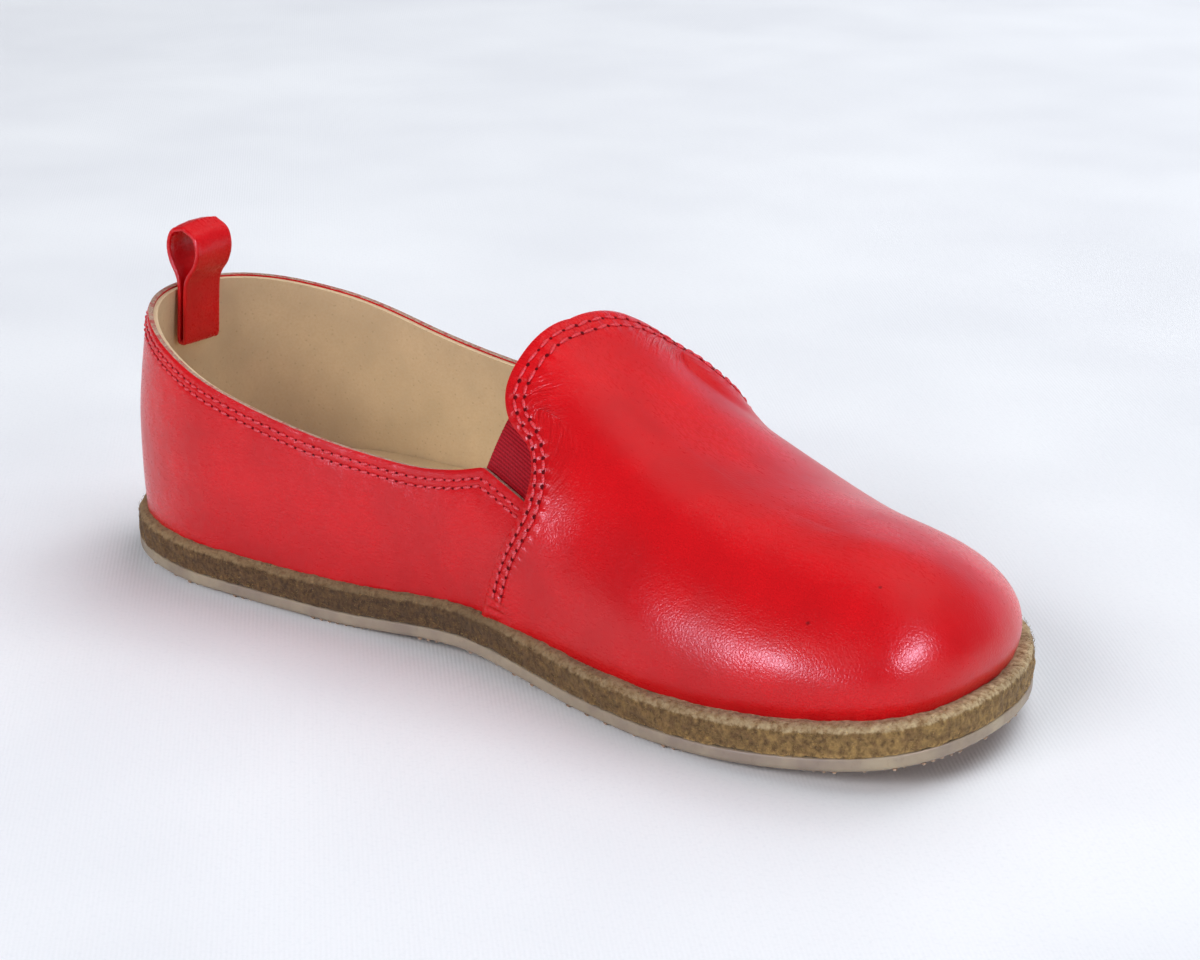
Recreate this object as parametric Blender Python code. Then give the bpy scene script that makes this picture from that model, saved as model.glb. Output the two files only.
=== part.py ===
"""Child's slip-on shoe, left foot: leather upper with elastic gores, leather midsole, rubber outsole.

Metres, +Z up, toe along +X.  One lofting frame serves every piece: the sole outline is walked
from heel to toe on both sides, and each outline station is joined to a spine down the middle.
"""
import math
import bmesh
import bpy
import numpy as np

MM = 0.001

# ---- driving sizes -------------------------------------------------------------------------
LENGTH = 185.0 * MM          # outsole, heel to toe
STATIONS = 38                # outline stations on each side between heel and toe
GAP = 0.3 * MM               # air left between pieces that touch

OUTSOLE_THICK = 3.0 * MM
MIDSOLE_THICK = 5.0 * MM
INSOLE_THICK = 2.0 * MM
EDGE_ROUND = 0.8 * MM        # softened corner of outsole and midsole
INSOLE_ROUND = 0.4 * MM
WALL = 2.0 * MM              # upper: leather and lining together

HEEL_CAP, HEEL_POWER = 0.20, 2.1     # part of the length taken by the rounded heel, its fullness
TOE_CAP, TOE_POWER = 0.30, 2.25      # the same for the toe
SPINE_HEEL, SPINE_TOE = 0.14, 0.845  # ends of the spine, in shares of the length

TOE_SPRING = 5.0 * MM
TOE_SPRING_FROM = 0.73
HEEL_LIFT = 0.6 * MM
HEEL_LIFT_UNTIL = 0.06
ARCH_LIFT = 1.8 * MM
ARCH_FROM, ARCH_TO = 0.34, 0.66

# Sole: share of length, centre line (mm towards the outer side), half width (mm), welt (mm),
# the welt being how far the midsole stands out beyond the upper.
SOLE = (
    (0.00, -7.4, 30.4, 1.8),
    (0.10, -5.1, 30.4, 1.7),
    (0.20, -3.9, 30.4, 1.6),
    (0.30, -2.1, 30.7, 1.5),
    (0.40, 0.4, 31.0, 1.5),
    (0.50, 3.4, 32.8, 1.7),
    (0.60, 5.0, 36.4, 2.1),
    (0.70, 4.6, 39.1, 2.5),
    (0.80, 2.7, 39.2, 2.8),
    (0.90, -0.5, 39.0, 3.0),
    (1.00, -7.4, 39.0, 3.0),
)

# Upper over the spine: share of length, crown height (mm), crown offset (mm), belly (mm),
# fullness of the inner side, fullness of the outer side (1 is a plain ellipse, less is squarer).
UPPER = (
    (0.14, 88.0, -4.5, 0.8, 0.90, 0.90),
    (0.25, 84.0, -3.0, 0.8, 0.90, 0.90),
    (0.40, 68.0, -2.0, 0.8, 0.88, 0.90),
    (0.50, 57.6, -1.6, 1.0, 0.90, 0.92),
    (0.55, 50.4, -3.0, 1.2, 0.90, 1.08),
    (0.60, 44.6, -4.4, 1.4, 0.90, 1.17),
    (0.70, 36.4, -6.4, 1.6, 0.86, 1.30),
    (0.80, 33.0, -7.5, 1.6, 0.82, 1.06),
    (0.85, 32.6, -8.0, 1.5, 0.82, 0.94),
)

# Opening seen from the side: distance from the heel (mm), height (mm).
COLLAR = (
    (-12.0, 49.0),
    (4.0, 47.5),
    (20.0, 43.0),
    (40.0, 37.5),
    (60.0, 33.8),
    (78.0, 32.3),
    (88.0, 33.0),
    (95.2, 34.8),
)
GORE_TIP = (105.8, 31.0)
TONGUE = (
    (105.6, 35.5),
    (103.0, 39.5),
    (98.2, 42.4),
    (95.3, 46.5),
    (94.5, 51.0),
    (94.8, 56.5),
    (96.5, 64.0),
)
CUT_TOP = 120.0              # mm, above everything that is cut away
CUT_REACH = 80.0 * MM        # cutters reach this far to either side

GORE_THICK = 1.2 * MM
# Elastic seen from the side, with the laps held behind the leather: from the heel, height (mm).
GORE = (
    (97.4, 47.2),
    (95.2, 34.6),
    (94.4, 29.0),
    (103.5, 26.5),
    (110.2, 28.5),
    (110.0, 35.5),
    (106.4, 40.0),
    (101.6, 43.8),
)

LOOP_WIDTH = 9.0 * MM
LOOP_THICK = 1.2 * MM
LOOP_STEM = 11.0 * MM        # how far the tape goes down inside the heel
LOOP_STANDOFF = 2.2 * MM     # tape's middle line from the heel wall
LOOP_BOW = 46.0 * MM         # twice the radius the tape is curved to, across
LOOP_TILT = 5.0              # degrees the loop leans forward with the heel wall
# Tape's section: which face, and where across the width.
TAPE_SECTION = ((1, -1), (1, 0), (1, 1), (-1, 1), (-1, 0), (-1, -1))
# Pull loop seen from the side: height along the tape (mm), half width of the closed tape (mm).
LOOP = (
    (0.0, 0.0),
    (0.6, 0.75),
    (5.0, 0.75),
    (11.0, 0.80),
    (13.4, 1.5),
    (16.0, 3.2),
    (19.0, 3.9),
    (21.8, 2.9),
    (23.0, 0.0),
)

SHELL_ROWS = 15              # rows from the feather edge to the crown
ROW_POWER = 0.85             # typical section whose length the rows share out evenly
ROW_RISE = 1.3               # and its height over its half width
ROW_SAMPLES = 400
BELLY_PEAK = 6.75            # makes the highest value of up * (1 - up) ** 2 equal to one
CROWN_ROWS = 6               # rows under the crown that are eased together
CROWN_PASSES = 8
SOLE_ROWS = (0.0, 0.5, 1.0)  # steps from the edge to the spine on the flat faces


# ---- curves --------------------------------------------------------------------------------
def column(table, index):
    """Smooth function of a table's first column, through the values of another one."""
    xs = np.array([row[0] for row in table])
    ys = np.array([row[index] for row in table])
    slopes = np.gradient(ys, xs)

    def value(x):
        x = np.clip(x, xs[0], xs[-1])
        k = np.clip(np.searchsorted(xs, x) - 1, 0, len(xs) - 2)
        step = xs[k + 1] - xs[k]
        t = (x - xs[k]) / step
        ease = t * t * (3.0 - 2.0 * t)
        tangent = t * (1.0 - t) * ((1.0 - t) * slopes[k] - t * slopes[k + 1])
        return ys[k] + (ys[k + 1] - ys[k]) * ease + step * tangent

    return value


def smooth_path(points, steps):
    """Catmull-Rom path through points, open at both ends."""
    pts = [np.array(p, float) for p in points]
    pts = [2.0 * pts[0] - pts[1]] + pts + [2.0 * pts[-1] - pts[-2]]
    path = []
    for a, b, c, d in zip(pts, pts[1:], pts[2:], pts[3:]):
        for k in range(steps):
            t = k / steps
            path.append(0.5 * (2.0 * b + (c - a) * t + (2.0 * a - 5.0 * b + 4.0 * c - d) * t ** 2
                               + (3.0 * b - a - 3.0 * c + d) * t ** 3))
    path.append(pts[-2])
    return path


def lift(x):
    """Height of the sole's underside over the ground: heel edge, arch and toe spring."""
    share = x / LENGTH
    toe = np.clip((share - TOE_SPRING_FROM) / (1.0 - TOE_SPRING_FROM), 0.0, None)
    heel = np.clip(1.0 - share / HEEL_LIFT_UNTIL, 0.0, None)
    arch = np.clip((share - ARCH_FROM) / (ARCH_TO - ARCH_FROM), 0.0, 1.0)
    return TOE_SPRING * toe ** 2 + HEEL_LIFT * heel ** 2 + ARCH_LIFT * np.sin(math.pi * arch) ** 2


def stations():
    """Shares of the length and sides (+1 outer, -1 inner) once around the outline."""
    angle = math.pi * np.arange(STATIONS + 1) / STATIONS
    share = 0.5 * (1.0 - np.cos(angle))
    side = np.ones(STATIONS + 1)
    return (np.concatenate([share, share[-2:0:-1]]),
            np.concatenate([side, -side[-2:0:-1]]))


def welt():
    """Width of the midsole's ledge at every outline station."""
    return column(SOLE, 3)(stations()[0]) * MM


def outline(inset):
    """Sole outline moved inwards by a distance, or by one distance for each station."""
    share, side = stations()
    heel = np.clip(1.0 - share / HEEL_CAP, 0.0, 1.0)
    toe = np.clip(1.0 - (1.0 - share) / TOE_CAP, 0.0, 1.0)
    cap = (1.0 - heel ** HEEL_POWER) ** (1.0 / HEEL_POWER) * (1.0 - toe ** TOE_POWER) ** (1.0 / TOE_POWER)
    centre = column(SOLE, 1)(share) * MM
    half = column(SOLE, 2)(share) * MM * cap
    edge = np.column_stack([share * LENGTH, centre + side * half])
    along = np.roll(edge, -1, axis=0) - np.roll(edge, 1, axis=0)
    along /= np.linalg.norm(along, axis=1)[:, None]
    inward = np.column_stack([along[:, 1], -along[:, 0]])
    return edge + inward * np.broadcast_to(inset, len(edge))[:, None]


def spine(offset):
    """Middle line the outline stations are joined to; offset is a function in mm."""
    share = SPINE_HEEL + (SPINE_TOE - SPINE_HEEL) * stations()[0]
    return np.column_stack([share * LENGTH, offset(share) * MM])


# ---- bodies --------------------------------------------------------------------------------
def flat_row(inset, towards, height):
    """Row of a sole piece: outline inset, share of the way to the spine, height."""
    edge = outline(inset)
    middle = spine(column(SOLE, 1))
    flat = edge + (middle - edge) * towards
    return np.column_stack([flat, height + lift(flat[:, 0])])


def slab_rows(inset, low, high, corner):
    """Rows of a sole piece from the spine underneath, round the edge, to the spine on top."""
    rows = [flat_row(inset + corner, share, low) for share in reversed(SOLE_ROWS)]
    rows.append(flat_row(inset, 0.0, low + corner))
    rows.append(flat_row(inset, 0.0, high - corner))
    rows.extend(flat_row(inset + corner, share, high) for share in SOLE_ROWS)
    return rows


def section_steps(rows):
    """Angles of the section curve that share out its length evenly."""
    angle = np.linspace(0.0, math.pi / 2.0, ROW_SAMPLES)
    flat = 1.0 - np.cos(angle) ** ROW_POWER
    rise = ROW_RISE * np.sin(angle) ** ROW_POWER
    length = np.concatenate([[0.0], np.cumsum(np.hypot(np.diff(flat), np.diff(rise)))])
    return np.interp(np.linspace(0.0, length[-1], rows), length, angle)


def last_grid():
    """Outer surface of the upper: rows of ring points from the feather edge to the crown."""
    edge = outline(welt())
    top = spine(column(UPPER, 2))
    share = top[:, 0] / LENGTH
    crown = column(UPPER, 1)(share) * MM
    belly = column(UPPER, 3)(share) * MM
    side = stations()[1]
    full = np.where(side < 0.0, column(UPPER, 4)(share), column(UPPER, 5)(share))
    full[[0, STATIONS]] = 0.5 * (column(UPPER, 4)(share) + column(UPPER, 5)(share))[[0, STATIONS]]
    base = OUTSOLE_THICK + MIDSOLE_THICK + GAP + lift(edge[:, 0])
    outward = edge - outline(welt() + MM)
    outward /= np.linalg.norm(outward, axis=1)[:, None]
    grid = []
    for angle in section_steps(SHELL_ROWS):
        across = (1.0 - np.clip(math.cos(angle), 0.0, 1.0) ** full)[:, None]
        up = math.sin(angle) ** full
        swell = belly * BELLY_PEAK * up * (1.0 - up) ** 2
        flat = edge + (top - edge) * across + outward * swell[:, None]
        grid.append(np.column_stack([flat, base + (crown - base) * up]))
    return eased(np.array(grid))


def eased(grid):
    """Evens out the heights round the crown, where the fanned stations meet."""
    height = grid[:, :, 2]
    opposite = (-np.arange(grid.shape[1])) % grid.shape[1]
    for _ in range(CROWN_PASSES):
        beside = 0.5 * (np.roll(height, 1, axis=1) + np.roll(height, -1, axis=1))
        over = np.vstack([height[1:], height[-2][None, opposite]])
        under = np.vstack([height[:1], height[:-1]])
        mean = 0.5 * height + 0.25 * beside + 0.125 * (over + under)
        height[-CROWN_ROWS:] = mean[-CROWN_ROWS:]
    return grid


def normals(grid):
    """Outward normals of the last surface; both sides agree along the crown."""
    around = np.roll(grid, -1, axis=1) - np.roll(grid, 1, axis=1)
    ends = [0, STATIONS]                 # the spine has no width at its ends
    around[-1, ends] = around[-2, ends]
    upward = np.gradient(grid, axis=0)
    normal = np.cross(upward, around)
    normal /= np.linalg.norm(normal, axis=2)[:, :, None]
    opposite = (-np.arange(grid.shape[1])) % grid.shape[1]
    normal[-1] = normal[-1] + normal[-1][opposite]
    normal[-1] /= np.linalg.norm(normal[-1], axis=1)[:, None]
    return normal


def inner_grid(depth):
    """The last surface moved inwards by a depth, with its lower edge kept level."""
    grid = last_grid()
    moved = grid - normals(grid) * depth
    moved[0, :, 2] = grid[0, :, 2]
    return moved


def loft(name, rows, material):
    """Closed body from rows of ring points whose first and last rows lie on the spine."""
    bm = bmesh.new()
    grid = [[bm.verts.new(point) for point in row] for row in rows]
    count = len(grid[0])
    for low, high in zip(grid, grid[1:]):
        for i in range(count):
            j = (i + 1) % count
            bm.faces.new((low[i], low[j], high[j], high[i]))
    bmesh.ops.remove_doubles(bm, verts=bm.verts, dist=1e-7)
    return finish(name, bm, material)


def finish(name, bm, material):
    """Mesh object with outward faces and its material."""
    bmesh.ops.recalc_face_normals(bm, faces=bm.faces)
    mesh = bpy.data.meshes.new(name)
    bm.to_mesh(mesh)
    bm.free()
    if material is not None:
        mesh.materials.append(material)
    obj = bpy.data.objects.new(name, mesh)
    bpy.context.scene.collection.objects.link(obj)
    return obj


def prism(name, points, y_low, y_high):
    """Cutter: a side-view outline in mm carried across the shoe."""
    bm = bmesh.new()
    near = [bm.verts.new((x * MM, y_low, z * MM)) for x, z in points]
    far = [bm.verts.new((x * MM, y_high, z * MM)) for x, z in points]
    count = len(points)
    bm.faces.new(near)
    bm.faces.new(far)
    for i in range(count):
        j = (i + 1) % count
        bm.faces.new((near[i], near[j], far[j], far[i]))
    obj = finish(name, bm, None)
    obj.hide_render = True
    obj.display_type = "WIRE"
    return obj


def boolean(obj, cutter, operation):
    """Exact Boolean with a guide body."""
    mod = obj.modifiers.new(operation.lower(), "BOOLEAN")
    mod.operation = operation
    mod.solver = "EXACT"
    mod.object = cutter


# ---- materials -----------------------------------------------------------------------------
def material(name, colour, roughness):
    """Principled material with a plain colour."""
    mat = bpy.data.materials.new(name)
    mat.use_nodes = True
    shader = mat.node_tree.nodes["Principled BSDF"]
    shader.inputs["Base Color"].default_value = (*colour, 1.0)
    shader.inputs["Roughness"].default_value = roughness
    shader.inputs["Metallic"].default_value = 0.0
    return mat


def red_leather():
    return material("leather_red", (0.65, 0.012, 0.015), 0.38)


def split_leather():
    return material("midsole_leather", (0.16, 0.105, 0.05), 0.9)


def rubber():
    return material("rubber_amber", (0.36, 0.27, 0.19), 0.55)


def elastic():
    return material("elastic_red", (0.22, 0.006, 0.012), 0.8)


def lining():
    return material("lining_leather", (0.62, 0.45, 0.28), 0.7)


def strip():
    return material("loop_red", (0.5, 0.01, 0.02), 0.7)


# ---- pieces --------------------------------------------------------------------------------
def outsole():
    rows = slab_rows(0.0, 0.0, OUTSOLE_THICK - GAP, EDGE_ROUND)
    return loft("outsole", rows, rubber())


def midsole():
    low = OUTSOLE_THICK
    return loft("midsole", slab_rows(0.0, low, low + MIDSOLE_THICK, EDGE_ROUND), split_leather())


def insole():
    low = OUTSOLE_THICK + MIDSOLE_THICK + GAP
    inset = welt() + WALL + GAP
    return loft("insole", slab_rows(inset, low, low + INSOLE_THICK, INSOLE_ROUND), lining())


def opening_outline():
    """Collar, gore notch and tongue edge seen from the side, closed over the top."""
    collar = smooth_path(COLLAR, 4)
    tongue = smooth_path((GORE_TIP,) + TONGUE, 4)
    return collar + tongue + [(TONGUE[-1][0], CUT_TOP), (COLLAR[0][0], CUT_TOP)]


def upper():
    outer = last_grid()
    inner = inner_grid(WALL)
    rows = list(outer[::-1]) + list(inner)
    shell = loft("upper", rows, red_leather())
    boolean(shell, prism("guide_opening", opening_outline(), -CUT_REACH, CUT_REACH), "DIFFERENCE")
    return shell


def gore(name, side):
    """Elastic behind the notch on one side, +1 outer or -1 inner."""
    rows = list(inner_grid(WALL + GAP)[::-1]) + list(inner_grid(WALL + GAP + GORE_THICK))
    patch = loft(name, rows, elastic())
    reach = CUT_REACH * side
    guide = prism("guide_" + name, GORE, min(0.0, reach), max(0.0, reach))
    boolean(patch, guide, "INTERSECT")
    return patch


def loop_path():
    """Closed middle line of the pull tape, side view, in metres."""
    rise = smooth_path([(-width, height) for height, width in LOOP], 4)
    fall = [(-x, z) for x, z in reversed(rise[1:-1])]
    return np.array(rise + fall) * MM


def pull_loop():
    """Folded tape inside the heel that stands up in a loop over the collar."""
    path = loop_path()
    along = np.roll(path, -1, axis=0) - np.roll(path, 1, axis=0)
    along /= np.linalg.norm(along, axis=1)[:, None]
    out = np.column_stack([-along[:, 1], along[:, 0]]) * 0.5 * LOOP_THICK
    wall = inner_grid(WALL)[:, 0]
    foot = (COLLAR[1][1] - LOOP_STEM / MM) * MM
    wall_x = float(np.interp(foot, wall[:, 2], wall[:, 0]))
    wall_y = float(wall[0, 1])
    tilt = math.radians(LOOP_TILT)
    bm = bmesh.new()
    rings = []
    for point, shift in zip(path, out):
        ring = []
        for sign, share in TAPE_SECTION:
            x, z = point + sign * shift
            y = 0.5 * LOOP_WIDTH * share
            x, z = x * math.cos(tilt) + z * math.sin(tilt), z * math.cos(tilt) - x * math.sin(tilt)
            ring.append(bm.verts.new((wall_x + LOOP_STANDOFF + x + y * y / LOOP_BOW, wall_y + y, foot + z)))
        rings.append(ring)
    for ring, following in zip(rings, rings[1:] + rings[:1]):
        for k in range(len(ring)):
            m = (k + 1) % len(ring)
            bm.faces.new((ring[k], ring[m], following[m], following[k]))
    return finish("pull_loop", bm, strip())


def clear_scene():
    for obj in list(bpy.data.objects):
        bpy.data.objects.remove(obj, do_unlink=True)


def centre(parts):
    """Brings the middle of the outsole's outline over the origin."""
    edge = outline(0.0)
    middle = 0.5 * (edge.min(axis=0) + edge.max(axis=0))
    for obj in parts:
        for vertex in obj.data.vertices:
            vertex.co.x -= middle[0]
            vertex.co.y -= middle[1]


def main():
    clear_scene()
    outsole()
    midsole()
    insole()
    upper()
    gore("gore_inner", -1)
    gore("gore_outer", 1)
    pull_loop()
    centre(list(bpy.data.objects))


main()
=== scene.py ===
"""Looks of a child's left slip-on shoe: red leather, elastic gores, leather midsole, dotted rubber outsole.

The file is laid out as an add-on and run as a script.  Tables are in millimetres, measured from
the heel and from the shoe's own centre line as the shoemaker draws it; everything made from them is
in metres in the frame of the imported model.
"""
import math

import bmesh
import bpy
import numpy as np
from mathutils import Matrix, Quaternion, Vector, noise


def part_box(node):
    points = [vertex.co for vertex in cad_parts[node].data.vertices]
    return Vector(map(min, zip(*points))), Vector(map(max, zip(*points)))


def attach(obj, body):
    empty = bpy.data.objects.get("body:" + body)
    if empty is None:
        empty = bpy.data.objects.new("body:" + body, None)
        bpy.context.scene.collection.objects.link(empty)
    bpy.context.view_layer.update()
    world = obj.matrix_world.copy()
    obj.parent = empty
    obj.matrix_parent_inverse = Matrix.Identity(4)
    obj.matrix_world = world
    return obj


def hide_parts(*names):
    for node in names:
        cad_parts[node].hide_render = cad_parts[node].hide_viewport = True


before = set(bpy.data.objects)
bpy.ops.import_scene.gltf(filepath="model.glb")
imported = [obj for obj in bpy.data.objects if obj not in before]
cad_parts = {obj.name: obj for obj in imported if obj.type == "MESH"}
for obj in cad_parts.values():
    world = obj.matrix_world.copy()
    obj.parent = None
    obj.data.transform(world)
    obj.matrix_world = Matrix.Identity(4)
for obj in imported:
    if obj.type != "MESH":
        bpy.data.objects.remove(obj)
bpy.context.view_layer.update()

bl_info = {
    "name": "Child's slip-on shoe",
    "version": (1, 0, 0),
    "blender": (4, 5, 0),
    "location": "3D View > Sidebar > Shoe",
    "description": "Builds the leather, stitching, gores and soles of a slip-on shoe",
    "category": "Object",
}

MM = 0.001

# ---- the last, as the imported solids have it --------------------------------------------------
OUTSOLE_THICK = 3.0 * MM
MIDSOLE_THICK = 5.0 * MM
INSOLE_THICK = 2.0 * MM
GAP = 0.3 * MM
WALL = 2.0 * MM

HEEL_CAP, HEEL_POWER = 0.20, 2.1
TOE_CAP, TOE_POWER = 0.30, 2.25
SPINE_HEEL, SPINE_TOE = 0.14, 0.845

TOE_SPRING = 5.0 * MM
TOE_SPRING_FROM = 0.73
HEEL_LIFT = 0.6 * MM
HEEL_LIFT_UNTIL = 0.06
ARCH_LIFT = 1.8 * MM
ARCH_FROM, ARCH_TO = 0.34, 0.66

# Sole: share of length, centre line, half width, welt.
SOLE = (
    (0.00, -7.4, 30.4, 1.8),
    (0.10, -5.1, 30.4, 1.7),
    (0.20, -3.9, 30.4, 1.6),
    (0.30, -2.1, 30.7, 1.5),
    (0.40, 0.4, 31.0, 1.5),
    (0.50, 3.4, 32.8, 1.7),
    (0.60, 5.0, 36.4, 2.1),
    (0.70, 4.6, 39.1, 2.5),
    (0.80, 2.7, 39.2, 2.8),
    (0.90, -0.5, 39.0, 3.0),
    (1.00, -7.4, 39.0, 3.0),
)

# Upper over the spine: share of length, crown height, crown offset, belly, fullness inner and outer.
UPPER = (
    (0.14, 88.0, -4.5, 0.8, 0.90, 0.90),
    (0.25, 84.0, -3.0, 0.8, 0.90, 0.90),
    (0.40, 68.0, -2.0, 0.8, 0.88, 0.90),
    (0.50, 57.6, -1.6, 1.0, 0.90, 0.92),
    (0.55, 50.4, -3.0, 1.2, 0.90, 1.08),
    (0.60, 44.6, -4.4, 1.4, 0.90, 1.17),
    (0.70, 36.4, -6.4, 1.6, 0.86, 1.30),
    (0.80, 33.0, -7.5, 1.6, 0.82, 1.06),
    (0.85, 32.6, -8.0, 1.5, 0.82, 0.94),
)

# Seen from the side: distance from the heel, height.
COLLAR = (
    (-12.0, 49.0),
    (4.0, 47.5),
    (20.0, 43.0),
    (40.0, 37.5),
    (60.0, 33.8),
    (78.0, 32.3),
    (88.0, 33.0),
    (95.2, 34.8),
)
NOTCH = ((95.2, 34.8), (105.8, 31.0), (116.0, 27.4))
SEAM = ((97.2, 10.0), (98.9, 14.1), (101.8, 22.1), (104.4, 27.4))
GORE_TIP = (105.8, 31.0)
TONGUE = (
    (105.6, 35.5),
    (103.0, 39.5),
    (98.2, 42.4),
    (95.3, 46.5),
    (94.5, 51.0),
    (94.8, 56.5),
    (96.5, 64.0),
)
# Elastic, seen from the side: lower back, lower front, upper front, upper back.
GORE = ((93.8, 31.6), (108.6, 26.3), (104.9, 44.4), (97.4, 47.0))

# Pull loop seen from the side: height along the tape, half width of the closed tape.
LOOP = (
    (0.0, 0.0),
    (0.6, 0.75),
    (5.0, 0.75),
    (11.0, 0.80),
    (13.4, 1.5),
    (16.0, 3.2),
    (19.0, 3.9),
    (21.8, 2.9),
    (23.0, 0.0),
)
LOOP_STEM = 11.0
LOOP_STANDOFF = 2.2 * MM
LOOP_BOW = 46.0 * MM
LOOP_TILT = math.radians(5.0)

# ---- resolution ------------------------------------------------------------------------------
SIDE = 300                   # stations of the working surface on each side of the shoe
TOP = 120                    # its rows from the feather edge to the crown
ROW_POWER, ROW_RISE = 0.85, 1.3
BELLY_PEAK = 6.75
EASE_PASSES, EASE_STRIDE = 32, 4
CAD_STATIONS = 38
BLEND_STATIONS = 3           # CAD stations over which inner and outer fullness meet at toe and heel


# ---- curves ----------------------------------------------------------------------------------
def column(table, index):
    """Smooth function of a table's first column, through the values of another one."""
    xs = np.array([row[0] for row in table])
    ys = np.array([row[index] for row in table])
    slopes = np.gradient(ys, xs)

    def value(x):
        x = np.clip(x, xs[0], xs[-1])
        k = np.clip(np.searchsorted(xs, x) - 1, 0, len(xs) - 2)
        step = xs[k + 1] - xs[k]
        t = (x - xs[k]) / step
        ease = t * t * (3.0 - 2.0 * t)
        tangent = t * (1.0 - t) * ((1.0 - t) * slopes[k] - t * slopes[k + 1])
        return ys[k] + (ys[k + 1] - ys[k]) * ease + step * tangent

    return value


def smooth_path(points, steps):
    """Catmull-Rom path through points, open at both ends."""
    pts = [np.array(p, float) for p in points]
    pts = [2.0 * pts[0] - pts[1]] + pts + [2.0 * pts[-1] - pts[-2]]
    path = []
    for a, b, c, d in zip(pts, pts[1:], pts[2:], pts[3:]):
        for k in range(steps):
            t = k / steps
            path.append(0.5 * (2.0 * b + (c - a) * t + (2.0 * a - 5.0 * b + 4.0 * c - d) * t ** 2
                               + (3.0 * b - a - 3.0 * c + d) * t ** 3))
    path.append(pts[-2])
    return np.array(path)


def smoothstep(x):
    """Eased rise from nought to one."""
    x = np.clip(x, 0.0, 1.0)
    return x * x * (3.0 - 2.0 * x)


def bell(x, width):
    """Bell curve of height one."""
    return np.exp(-(x / width) ** 2)


def unit(vectors):
    """Vectors brought to length one."""
    return vectors / np.maximum(np.linalg.norm(vectors, axis=-1, keepdims=True), 1e-12)


def run(points):
    """Distance run along a line of points."""
    steps = np.linalg.norm(np.diff(points, axis=0), axis=1)
    return np.concatenate([[0.0], np.cumsum(steps)])


def lift(x):
    """Height of the sole's underside over the ground: heel edge, arch and toe spring."""
    share = x / LENGTH
    toe = np.clip((share - TOE_SPRING_FROM) / (1.0 - TOE_SPRING_FROM), 0.0, None)
    heel = np.clip(1.0 - share / HEEL_LIFT_UNTIL, 0.0, None)
    arch = np.clip((share - ARCH_FROM) / (ARCH_TO - ARCH_FROM), 0.0, 1.0)
    return TOE_SPRING * toe ** 2 + HEEL_LIFT * heel ** 2 + ARCH_LIFT * np.sin(math.pi * arch) ** 2


def turn_share(turn):
    """Share of the length for a station number; stations run round the whole outline."""
    return 0.5 * (1.0 - np.cos(math.pi * turn / SIDE))


def outline(turn, inset=0.0):
    """Sole outline at station numbers, moved inwards by a distance."""
    def edge(at):
        share = turn_share(at)
        heel = np.clip(1.0 - share / HEEL_CAP, 0.0, 1.0)
        toe = np.clip(1.0 - (1.0 - share) / TOE_CAP, 0.0, 1.0)
        cap = ((1.0 - heel ** HEEL_POWER) ** (1.0 / HEEL_POWER)
               * (1.0 - toe ** TOE_POWER) ** (1.0 / TOE_POWER))
        side = np.where(np.sin(math.pi * at / SIDE) < 0.0, -1.0, 1.0)
        half = column(SOLE, 2)(share) * cap
        return np.stack([share * LENGTH, (column(SOLE, 1)(share) + side * half) * MM], axis=-1)

    turn = np.asarray(turn, float)
    along = unit(edge(turn + 1.0) - edge(turn - 1.0))
    inward = np.stack([along[..., 1], -along[..., 0]], axis=-1)
    return edge(turn) + inward * np.broadcast_to(inset, turn.shape)[..., None]


def welt(turn):
    """Width of the midsole's ledge."""
    return column(SOLE, 3)(turn_share(turn)) * MM


def spine(turn, offset):
    """Middle line the outline is joined to; offset is a function in mm."""
    share = SPINE_HEEL + (SPINE_TOE - SPINE_HEEL) * turn_share(turn)
    return np.stack([share * LENGTH, offset(share) * MM], axis=-1)


LENGTH = (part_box("outsole")[1].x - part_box("outsole")[0].x)
EDGE = outline(np.arange(2 * SIDE))
SHIFT = np.array([-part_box("outsole")[0].x, 0.5 * (EDGE[:, 1].min() + EDGE[:, 1].max()), 0.0])


def placed(points):
    """From the shoemaker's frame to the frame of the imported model."""
    return points - SHIFT


# ---- the upper's surface ---------------------------------------------------------------------
def section_angles():
    """Angles of the section curve that share out its length evenly."""
    angle = np.linspace(0.0, math.pi / 2.0, 4 * TOP)
    flat = 1.0 - np.cos(angle) ** ROW_POWER
    rise = ROW_RISE * np.sin(angle) ** ROW_POWER
    length = run(np.column_stack([flat, rise]))
    return np.interp(np.linspace(0.0, length[-1], TOP + 1), length, angle)


def eased(height):
    """Evens out the heights round the crown, where the fanned stations meet."""
    opposite = (-np.arange(2 * SIDE)) % (2 * SIDE)
    whole = np.vstack([height, height[-2::-1][:, opposite]])
    rows = np.arange(len(whole))
    above = np.minimum(rows + EASE_STRIDE, len(whole) - 1)
    below = np.maximum(rows - EASE_STRIDE, 0)
    for _ in range(EASE_PASSES):
        beside = np.roll(whole, EASE_STRIDE, axis=1) + np.roll(whole, -EASE_STRIDE, axis=1)
        whole = 0.5 * whole + 0.125 * (beside + whole[above] + whole[below])
    near_crown = smoothstep((np.arange(TOP + 1) / TOP - 0.5) / 0.25)[:, None]
    return height + (whole[:TOP + 1] - height) * near_crown


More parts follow.
